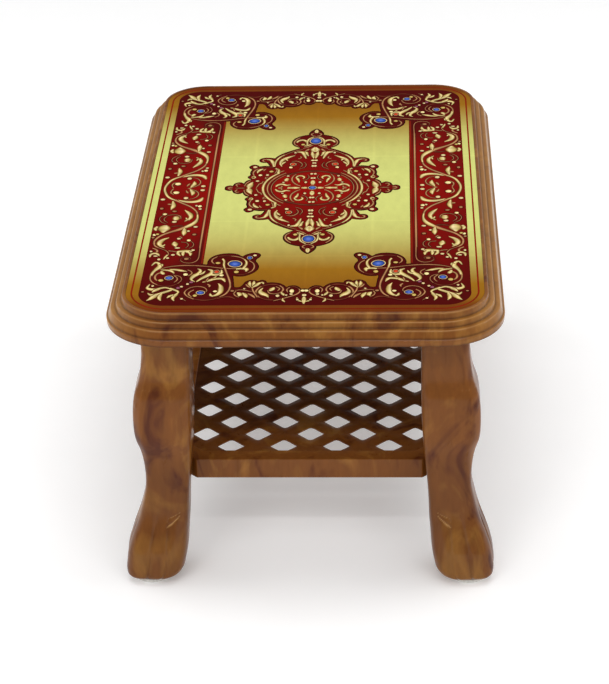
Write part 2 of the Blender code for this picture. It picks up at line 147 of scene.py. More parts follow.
class ReadingTableSizes(bpy.types.PropertyGroup):
    """Sizes of the table's pieces."""

    deck_half_width: length_setting(
        "Flat top, half width", "From the middle to where the rim's steps start",
        PANEL_HIGH.x + PANEL_INSET)
    deck_half_length: length_setting(
        "Flat top, half length", "From the middle to where the rim's steps start",
        PANEL_HIGH.y + PANEL_INSET)
    deck_corner: length_setting("Corner radius", "Rounding of the flat top's corners", 47 * MM)
    toe_groove: length_setting("Toe grooves", "Depth of the carved grooves of the feet", 1.7 * MM)
    hole_half_width: length_setting("Lattice hole, half width", "Middle to side tip", 15.2 * MM)
    hole_half_length: length_setting("Lattice hole, half length", "Middle to front tip", 15 * MM)


class ReadingTableColours(bpy.types.PropertyGroup):
    """Colours of the mouldings and of the printed panel."""

    moulding: colour_setting("Moulding", "Main brown of the moulded body", (126, 74, 28))
    moulding_dark: colour_setting("Moulding, dark", "Red-brown patches", (90, 42, 16))
    moulding_light: colour_setting("Moulding, light", "Gold-brown patches", (152, 101, 42))
    gold: colour_setting("Gold field", "The panel's gold at its middle", (208, 211, 122))
    bronze: colour_setting("Bronze", "The panel's gold towards its ends", (153, 105, 24))
    umber: colour_setting("Umber", "The panel's front and back margins", (112, 52, 14))
    red: colour_setting("Red", "Ornament's ground at the middle", (142, 12, 4))
    maroon: colour_setting("Maroon", "Ornament's ground at the ends", (78, 8, 6))
    cream: colour_setting("Cream", "Light side of the scrolls", (250, 230, 168))
    leaf: colour_setting("Leaf gold", "Body of the leaves", (206, 182, 104))
    blush: colour_setting("Blush", "Thin scrolls and beads", (196, 146, 96))
    pin: colour_setting("Pin line", "Thin red lines round the ornament", (140, 30, 12))
    faded: colour_setting("Faded scroll", "Parts of scrolls that sink into the ground", (116, 56, 34))
    outline: colour_setting("Outline", "Dark line round every scroll", (52, 12, 4))
    sapphire: colour_setting("Sapphire", "Blue stones", (52, 80, 158))
    garnet: colour_setting("Garnet", "Red stones", (190, 60, 32))
    glide: colour_setting("Glides", "Foot pads", (232, 230, 224))


def sizes():
    """The sizes of this scene."""
    return bpy.context.scene.reading_table_sizes


def colours():
    """The colours of this scene."""
    return bpy.context.scene.reading_table_colours


# ---------------------------------------------------------------- surfaces from grids

def smooth_step(low, high, value):
    """0 below low, 1 above high, and 3t^2 - 2t^3 between."""
    share = np.clip((value - low) / (high - low), 0, 1)
    return share * share * (3 - 2 * share)


def grid_faces(rows, columns, closed=False):
    """Four-sided faces of a grid of points; closed joins the last column to the first."""
    step = np.arange(columns if closed else columns - 1)
    following = (step + 1) % columns
    row = np.arange(rows - 1)[:, None] * columns
    corners = [row + step, row + following, row + columns + following, row + columns + step]
    return np.stack(corners, -1).reshape(-1, 4)


def grid(points, closed=False, paint=None, inside_out=False):
    """One surface: its points as rows and columns, its faces, and a colour at each point."""
    rows, columns = points.shape[:2]
    faces = grid_faces(rows, columns, closed)
    if inside_out:
        faces = faces[:, ::-1]
    if paint is None:
        paint = np.zeros((rows, columns, 3))
    return points.reshape(-1, 3), [faces], np.broadcast_to(paint, points.shape).reshape(-1, 3)


def loop_faces(surface, first, count, inside_out=False):
    """Adds one many-sided face over a run of points, as a lid over a surface's end."""
    lid = np.arange(first, first + count)[None]
    surface[1].append(lid[:, ::-1] if inside_out else lid)
    return surface


def kept_in_quarter(surface):
    """The surface with what crosses the table's middle lines pressed flat onto them."""
    points, faces, paint = surface
    return np.maximum(points, 0), faces, paint


def mirrored(surface, side_x, side_y):
    """The surface turned over into another quarter of the table, faces still outwards."""
    points, faces, paint = surface
    if side_x * side_y < 0:
        faces = [block[:, ::-1] for block in faces]
    return points * (side_x, side_y, 1), faces, paint


def in_all_quarters(surfaces):
    """Every surface in the four quarters of the table."""
    quarter = [kept_in_quarter(one) for one in surfaces]
    return [mirrored(one, x, y) for one in quarter for x, y in SIDES.values()]


def piece(name, surfaces, material, stands_for, weld=0.0, sharp=35):
    """One object from surfaces, placed by its vertices, riding on the table's body."""
    points = np.concatenate([one[0] for one in surfaces])
    paint = np.concatenate([one[2] for one in surfaces])
    starts = np.cumsum([0] + [len(one[0]) for one in surfaces])
    blocks = [block + start for one, start in zip(surfaces, starts) for block in one[1]]
    sides = np.concatenate([np.full(len(block), block.shape[1]) for block in blocks])
    corners = np.concatenate([block.ravel() for block in blocks])

    mesh = bpy.data.meshes.new(name)
    mesh.vertices.add(len(points))
    mesh.vertices.foreach_set("co", points.ravel())
    mesh.loops.add(len(corners))
    mesh.loops.foreach_set("vertex_index", corners)
    mesh.polygons.add(len(sides))
    mesh.polygons.foreach_set("loop_start", np.cumsum(sides) - sides)
    colour = mesh.attributes.new("paint", "FLOAT_COLOR", "POINT")
    colour.data.foreach_set("color", np.c_[paint, np.ones(len(paint))].ravel())
    mesh.update(calc_edges=True)
    if weld:
        shell = bmesh.new()
        shell.from_mesh(mesh)
        bmesh.ops.remove_doubles(shell, verts=shell.verts, dist=weld)
        bmesh.ops.dissolve_degenerate(shell, edges=shell.edges, dist=weld)
        shell.to_mesh(mesh)
        shell.free()
    mesh.validate()
    mesh.materials.append(material)
    mesh.shade_smooth()
    mesh.set_sharp_from_angle(angle=math.radians(sharp))
    thing = bpy.data.objects.new(name, mesh)
    bpy.context.scene.collection.objects.link(thing)
    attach(thing, "root")
    if stands_for:
        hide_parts(*stands_for)
    return thing


def rounded_line(corners, steps=5):
    """A line of straight runs whose corners, given as (x, y, radius), are turned to arcs."""
    corners = np.array(corners, float)
    points = [corners[:1, :2]]
    for before, here, after in zip(corners, corners[1:], corners[2:]):
        back = before[:2] - here[:2]
        ahead = after[:2] - here[:2]
        back_length, ahead_length = np.hypot(*back), np.hypot(*ahead)
        back, ahead = back / back_length, ahead / ahead_length
        half = math.acos(float(np.clip(back @ ahead, -1, 1))) / 2
        reach = min(here[2] / math.tan(half), 0.49 * back_length, 0.49 * ahead_length)
        if reach < 1e-9:
            points.append(here[None, :2])
            continue
        share = np.linspace(0, 1, steps)[:, None]
        ends = here[:2] + back * reach, here[:2] + ahead * reach
        points.append(
            ends[0] * (1 - share) ** 2 + here[:2] * 2 * share * (1 - share) + ends[1] * share ** 2)
    points.append(corners[-1:, :2])
    return np.concatenate(points)


def smooth_runs(line, longest):
    """The line with points added so that no run is longer than the longest."""
    points = [line[:1]]
    for start, end in zip(line, line[1:]):
        count = max(1, math.ceil(np.hypot(*(end - start)) / longest))
        points.append(start + (end - start) * np.linspace(0, 1, count + 1)[1:, None])
    return np.concatenate(points)


def rounded_rectangle(half_width, half_length, radius, steps=20):
    """Points and outward directions round a rectangle with arcs for corners."""
    turn = np.arange(4)[:, None] + np.linspace(0, 1, steps)[None]
    angle = (turn * math.pi / 2).ravel()
    ways = np.stack([np.cos(angle), np.sin(angle)], -1)
    quarter_middle = (np.arange(4) + 0.5) * math.pi / 2
    signs = np.repeat(np.sign(np.c_[np.cos(quarter_middle), np.sin(quarter_middle)]), steps, 0)
    middles = signs * (half_width - radius, half_length - radius)
    return middles + ways * radius, ways


def carried_round(points, ways, profile, height):
    """A profile of (outward, down) carried round an outline: point + outward x way, height - down."""
    outward = profile[:, 0][:, None, None]
    flat = points[None] + ways[None] * outward
    level = np.broadcast_to((height - profile[:, 1])[:, None, None], flat.shape[:2] + (1,))
    return np.concatenate([flat, level], -1)


def bar(start, end, half_width, low, high, edge=0.4 * MM):
    """A straight bar from start to end: a rounded-foot section carried along a line."""
    start, end = np.array(start, float), np.array(end, float)
    way = (end - start) / np.hypot(*(end - start))
    side = np.array([-way[1], way[0]])
    across = np.array([1.25, 1.25, 1, 1 - edge / half_width, -1 + edge / half_width, -1, -1.25, -1.25])
    level = np.array([high, high - 1 * MM, low + edge, low, low, low + edge, high - 1 * MM, high])
    ends = np.stack([start, end])
    flat = ends[:, None] + side * (across * half_width)[None, :, None]
    points = np.concatenate([flat, np.broadcast_to(level[None, :, None], (2, 8, 1))], -1)
    surface = grid(points, closed=True, inside_out=True)
    loop_faces(surface, 0, 8)
    return loop_faces(surface, 8, 8, inside_out=True)


def turned(profile, place, axis, steps=40):
    """A profile of (radius, height) spun about an axis that starts at place."""
    angle = np.linspace(0, 2 * math.pi, steps, endpoint=False)
    profile = np.array(profile, float)
    points = np.stack([
        profile[:, :1] * np.cos(angle), profile[:, :1] * np.sin(angle),
        np.broadcast_to(profile[:, 1:], (len(profile), steps)),
    ], -1)
    turn = np.array(Vector((0, 0, 1)).rotation_difference(Vector(axis)).to_matrix())
    return grid(points @ turn.T + np.array(place), closed=True)


# ---------------------------------------------------------------- materials

def new_material(name, roughness, **sockets):
    """A Principled material, and the tools that put nodes in front of it."""
    material = bpy.data.materials.new(name)
    material.use_nodes = True
    tree = material.node_tree
    shader = tree.nodes["Principled BSDF"]
    shader.inputs["Roughness"].default_value = roughness
    for socket, value in sockets.items():
        shader.inputs[socket.replace("_", " ")].default_value = value
    return material, tree, shader


def node(tree, kind, links=None, **settings):
    """A node with its settings, fed by the sockets in links."""
    made = tree.nodes.new(kind)
    for key, value in settings.items():
        if key[0].isupper():
            made.inputs[key.replace("_", " ")].default_value = value
        else:
            setattr(made, key, value)
    for socket, source in (links or {}).items():
        tree.links.new(source, made.inputs[socket])
    return made


def object_pattern(tree, scale, **settings):
    """Noise on the piece's own coordinates, with the axes scaled one by one."""
    place = node(tree, "ShaderNodeTexCoord")
    spread = node(tree, "ShaderNodeMapping", {"Vector": place.outputs["Object"]}, Scale=scale)
    return node(tree, "ShaderNodeTexNoise", {"Vector": spread.outputs["Vector"]}, **settings)


def ramp(tree, source, stops):
    """A colour ramp from (place, colour) stops."""
    made = node(tree, "ShaderNodeValToRGB", {"Fac": source})
    line = made.color_ramp
    while len(line.elements) < len(stops):
        line.elements.new(0.5)
    for element, (place, colour) in zip(line.elements, stops):
        element.position = place
        element.color = (*colour, 1)
    return made


def mixed(tree, kind, share, first, second):
    """Two colours mixed; share is a number or a socket."""
    made = node(tree, "ShaderNodeMix", data_type="RGBA", blend_type=kind)
    for socket, value in ((0, share), (6, first), (7, second)):
        if isinstance(value, bpy.types.NodeSocket):
            tree.links.new(value, made.inputs[socket])
        else:
            made.inputs[socket].default_value = value
    return made.outputs[2]


def grey(value):
    """The same number three times."""
    return (value, value, value)


def moulding_material():
    """Glossy brown moulded plastic, marbled in soft red-brown and gold-brown flow patches.

    The mesh's paint adds painted light to it: red for painted highlights on the rim's ridges and
    in the legs' carving, green for painted shade in the rim's creases, on the lattice and low on
    the legs, and blue for a painted paler, lit tone on the rim's sides. Gloss also comes from the shader.
    """
    material, tree, shader = new_material(
        "marbled_moulding", 0.3, Specular_IOR_Level=0.05,
        Coat_Weight=0.3, Coat_Roughness=0.08)
    paint = colours()
    flow = object_pattern(
        tree, (20, 20, 9), Scale=1.0, Detail=3.5, Roughness=0.55, Distortion=1.3)
    body = ramp(tree, flow.outputs["Fac"], [
        (0.34, tuple(paint.moulding_dark)), (0.45, tuple(paint.moulding)),
        (0.53, tuple(paint.moulding)), (0.67, tuple(paint.moulding_light))])
    streak = object_pattern(
        tree, (160, 160, 22), Scale=1.0, Detail=4.0, Roughness=0.6, Distortion=0.4)
    streaks = ramp(tree, streak.outputs["Fac"], [(0.3, grey(0.72)), (0.7, grey(1.0))])
    base = mixed(tree, "MULTIPLY", 0.7, body.outputs["Color"], streaks.outputs["Color"])
    marks = node(tree, "ShaderNodeAttribute", attribute_name="paint")
    parts = node(tree, "ShaderNodeSeparateColor", {"Color": marks.outputs["Color"]})
    # Blue paint: a painted paler, lit tone on the rim's sides
    base = mixed(tree, "MIX", parts.outputs["Blue"], base, (*linear(182, 134, 72), 1))
    # Green paint: painted shade in creases, on the lattice under the top and low on the legs
    base = mixed(tree, "MIX", parts.outputs["Green"], base, (*linear(34, 13, 6), 1))
    # Red paint: painted highlights on the rim's ridges and along the legs' carved lines
    base = mixed(tree, "MIX", parts.outputs["Red"], base, (*linear(206, 160, 100), 1))
    tree.links.new(base, shader.inputs["Base Color"])
    wear = ramp(tree, streak.outputs["Fac"], [(0.2, grey(0.24)), (0.8, grey(0.4))])
    tree.links.new(wear.outputs["Color"], shader.inputs["Roughness"])
    peel = object_pattern(tree, (420, 420, 420), Scale=1.0, Detail=2.0)
    bump = node(
        tree, "ShaderNodeBump", {"Height": peel.outputs["Fac"]}, Strength=0.08, Distance=0.0004)
    tree.links.new(bump.outputs["Normal"], shader.inputs["Normal"])
    return material


def print_material():
    """Printed film: the colours laid on the mesh, a faint ink mottle and a thin clear lacquer."""
    material, tree, shader = new_material(
        "printed_film", 0.42, Specular_IOR_Level=0.0, Coat_Weight=0.07, Coat_Roughness=0.25)
    ink = node(tree, "ShaderNodeAttribute", attribute_name="paint")
    mottle = object_pattern(tree, (90, 38, 90), Scale=1.0, Detail=5.0, Roughness=0.62)
    shade = ramp(tree, mottle.outputs["Fac"], [(0.3, grey(0.9)), (0.7, grey(1.0))])
    base = mixed(tree, "MULTIPLY", 1.0, ink.outputs["Color"], shade.outputs["Color"])
    tree.links.new(base, shader.inputs["Base Color"])
    sheen = ramp(tree, mottle.outputs["Fac"], [(0.25, grey(0.36)), (0.75, grey(0.5))])
    tree.links.new(sheen.outputs["Color"], shader.inputs["Roughness"])
    ripple = object_pattern(tree, (30, 30, 30), Scale=1.0, Detail=1.0)
    bump = node(
        tree, "ShaderNodeBump", {"Height": ripple.outputs["Fac"]}, Strength=0.05, Distance=0.002)
    tree.links.new(bump.outputs["Normal"], shader.inputs["Normal"])
    return material


def glide_material():
    """White foot-pad plastic, a little scuffed."""
    material, tree, shader = new_material("pad_plastic", 0.45, Specular_IOR_Level=0.4)
    scuff = object_pattern(tree, (220, 220, 60), Scale=1.0, Detail=4.0, Roughness=0.65)
    tint = ramp(tree, scuff.outputs["Fac"], [
        (0.3, tuple(0.78 * value for value in colours().glide)), (0.62, tuple(colours().glide))])
    tree.links.new(tint.outputs["Color"], shader.inputs["Base Color"])
    rough = ramp(tree, scuff.outputs["Fac"], [(0.3, grey(0.62)), (0.7, grey(0.4))])
    tree.links.new(rough.outputs["Color"], shader.inputs["Roughness"])
    return material


def steel_material():
    """Bright zinc-plated steel with a fine cloudy grain."""
    material, tree, shader = new_material("zinc_steel", 0.35, Metallic=1.0)
    cloud = object_pattern(tree, (600, 600, 600), Scale=1.0, Detail=4.0)
    tint = ramp(tree, cloud.outputs["Fac"], [
        (0.3, linear(150, 152, 152)), (0.7, linear(214, 212, 204))])
    tree.links.new(tint.outputs["Color"], shader.inputs["Base Color"])
    rough = ramp(tree, cloud.outputs["Fac"], [(0.3, grey(0.45)), (0.7, grey(0.26))])
    tree.links.new(rough.outputs["Color"], shader.inputs["Roughness"])
    return material


def floor_material():
    """Plain pale paper floor with a barely seen tooth, faintly self-lit alike all over."""
    material, tree, shader = new_material(
        "pale_floor", 0.9, Specular_IOR_Level=0.0, Emission_Color=(1, 1, 1, 1),
        Emission_Strength=0.15)
    tooth = object_pattern(tree, (40, 40, 40), Scale=1.0, Detail=3.0)
    tint = ramp(tree, tooth.outputs["Fac"], [(0.3, grey(0.93)), (0.7, grey(0.95))])
    tree.links.new(tint.outputs["Color"], shader.inputs["Base Color"])
    return material


# ---------------------------------------------------------------- table top

def moulded_top_surfaces():
    """The top's shell: one rounded profile carried round the deck, with ribs and leg sockets.

    Each point is outline + outward x way, at the profile's height. The ribs are bars and the
    sockets are rounded squares with a wall, all sunk a little into the underside.
    """
    size = sizes()
    outline, ways = rounded_rectangle(
        size.deck_half_width, size.deck_half_length, size.deck_corner, steps=22)
    profile = smooth_runs(rounded_line(RECESS_MM + RIM_OUTSIDE_MM), 1.2) * MM
    tone = np.zeros((len(profile), len(outline), 3))
    # Blue: a painted paler, lit tone on the left and right sides of the rim's steps
    tone[..., 2] = 0.45 * ways[:, 0] ** 2 * smooth_step(0.002, 0.004, profile[:, :1])
    # Red: a painted highlight along each ridge, weaker on the left and right sides
    for ridge in RIDGE_HIGHLIGHTS_MM:
        near = np.exp(-(np.hypot(*(profile / MM - ridge).T) / 0.8) ** 2)[:, None]
        tone[..., 0] += 0.3 * near * (1 - 0.75 * ways[:, 0] ** 2)
    # Green: painted shade in each crease
    for crease in CREASE_SHADES_MM:
        tone[..., 1] += 0.5 * np.exp(-(np.hypot(*(profile / MM - crease).T) / 1.2) ** 2)[:, None]
    shell = grid(carried_round(outline, ways, profile, TOP_HEIGHT), closed=True, paint=tone,
                 inside_out=True)
    count = len(outline)
    loop_faces(shell, 0, count)
    loop_faces(shell, (len(profile) - 1) * count, count, inside_out=True)
    surfaces = [shell]

    under = TOP_HEIGHT - UNDERSIDE_DOWN_MM * MM
    overlap = RIB_OVERLAP_MM * MM
    levels = (under - RIB_DEPTH_MM * MM, under + overlap)
    reach = (size.deck_half_width + overlap, size.deck_half_length + overlap)
    for along in (1, 0):
        across = 1 - along
        near = (SOCKET_MIDDLE_MM[along] - SOCKET_CLEARANCE_MM) * MM
        far = (SOCKET_MIDDLE_MM[along] + SOCKET_CLEARANCE_MM) * MM
        outermost = RIBS_EACH_WAY[across]
        for index in range(-outermost, outermost + 1):
            runs = [(-reach[along], reach[along])]
            if abs(index) == outermost:
                runs = [(-reach[along], -far), (-near, near), (far, reach[along])]
            for run in runs:
                ends = [[index * RIB_PITCH_MM[across] * MM] * 2 for _ in run]
                for end, place in zip(ends, run):
                    end[along] = place
                surfaces.append(bar(*ends, RIB_HALF_WIDTH_MM * MM, *levels))

    corner, corner_ways = rounded_rectangle(
        SOCKET_HALF_MM * MM, SOCKET_HALF_MM * MM, 2 * MM, steps=4)
    socket_profile = rounded_line([
        (0, 3.7, 0), (0, 27, 0.6), (-3, 27, 0.6), (-3, 4.6, 0)], steps=3) * MM
    for sides in SIDES.values():
        place = np.array(sides) * SOCKET_MIDDLE_MM * MM
        socket = grid(
            carried_round(corner + place, corner_ways, socket_profile, TOP_HEIGHT),
            closed=True, inside_out=True)
        last = (len(socket_profile) - 1) * len(corner)
        loop_faces(socket, 0, len(corner))
        surfaces.append(loop_faces(socket, last, len(corner), inside_out=True))
    return surfaces


class READINGTABLE_OT_table_top(bpy.types.Operator):
    """Moulded top with its stepped rim, ribs and sockets"""

    bl_idname = "reading_table.table_top"
    bl_label = "Moulded top"

    def execute(self, context):
        piece("moulded_top", moulded_top_surfaces(), bpy.data.materials["marbled_moulding"],
              ["table_top"], weld=1e-6, sharp=40)
        return {"FINISHED"}


# ---------------------------------------------------------------- printed panel

LAYER = 0.002 * MM            # each stroke of the print lies this much above the one before
# How far above the film the print's layers lie: its ground, the disc and the border's dark
# edge, the medallion's dark edge, and the first stroke
GROUND_LIFT, DISC_LIFT, EDGE_LIFT, ORNAMENT_LIFT = 0.012 * MM, 0.016 * MM, 0.018 * MM, 0.02 * MM
STROKE_STEP_MM = 1.5
STROKE_FULLNESS = 0.88        # drawn width of a stroke or bead as a share of the size listed
BEAD_STEPS = 24
ARC_STEPS = 24

# The colour across a stroke, from its dark outline on one side to that on the other
STYLES = {
    "cream": ("leaf", "cream", "leaf", "umber"),
    "gold": ("bronze", "cream", "leaf", "umber"),
    "blush": ("faded", "blush", "blush", "faded"),
    "faded": ("maroon", "faded", "blush", "maroon"),
    "dim": ("maroon", "faded", "faded", "maroon"),
    "dark": ("outline", "outline", "outline", "outline"),
    "line": ("pin", "pin", "pin", "pin"),
}

# Where the ornament's ground meets the gold field, in mm from the panel's middle
BORDER_EDGE_MM = [
    (109.5, 0), (109.5, 60), (109.5, 120), (109.5, 180), (109.3, 187.6), (104, 188.4),
    (103.6, 181), (101, 173), (96, 167), (89, 163.6), (80, 163), (73, 165.6), (68.5, 170),
    (64, 165.6), (58, 162), (53, 162), (49.6, 165.6), (50, 171), (53, 176), (54, 181),
    (51.5, 187), (50, 195), (52, 203), (57, 210), (64, 215), (71, 215.6), (75.4, 214.6),
    (74.6, 224), (73.6, 234), (72.6, 240), (67, 240), (63.6, 234.5), (61.4, 228), (57, 224.6),
    (52, 225), (49, 227), (45, 224.4), (41, 226.4), (39.6, 230.4), (34, 230), (27, 231.6),
    (22, 236), (19, 240.4), (15.4, 237.6), (10, 237), (6, 240.6), (3.6, 244.6), (0, 243.6),
]
MEDALLION_EDGE_MM = [
    (97.6, 0), (96.8, 4.2), (93, 6.6), (89.6, 5.4), (88.4, 8), (86.8, 12.4), (82, 15), (78.6, 12.6),
    (76.8, 11), (76, 15), (73.4, 20), (69.4, 23), (72.4, 26), (73.4, 30), (70.8, 34.6), (71.2, 42),
    (69.8, 49.6), (72.4, 53), (73, 57.6), (69, 62.4), (64.4, 60.4), (62.4, 57.6), (56, 59),
    (50.4, 58.8), (51.4, 63), (54, 68.6), (58.6, 68.8), (62.2, 72), (61.8, 78), (57, 81.4),
    (50.6, 81.2), (45.4, 79.8), (43, 84.4), (38, 91.6), (31, 98), (24, 103.4), (17, 108.4),
    (19.4, 110.8), (24, 115), (26.8, 121.6), (26.6, 129), (24.2, 135.4), (19.4, 141),
    (13, 144.8), (8.6, 146.6), (7.8, 152), (4.6, 159), (0, 164.4),
]

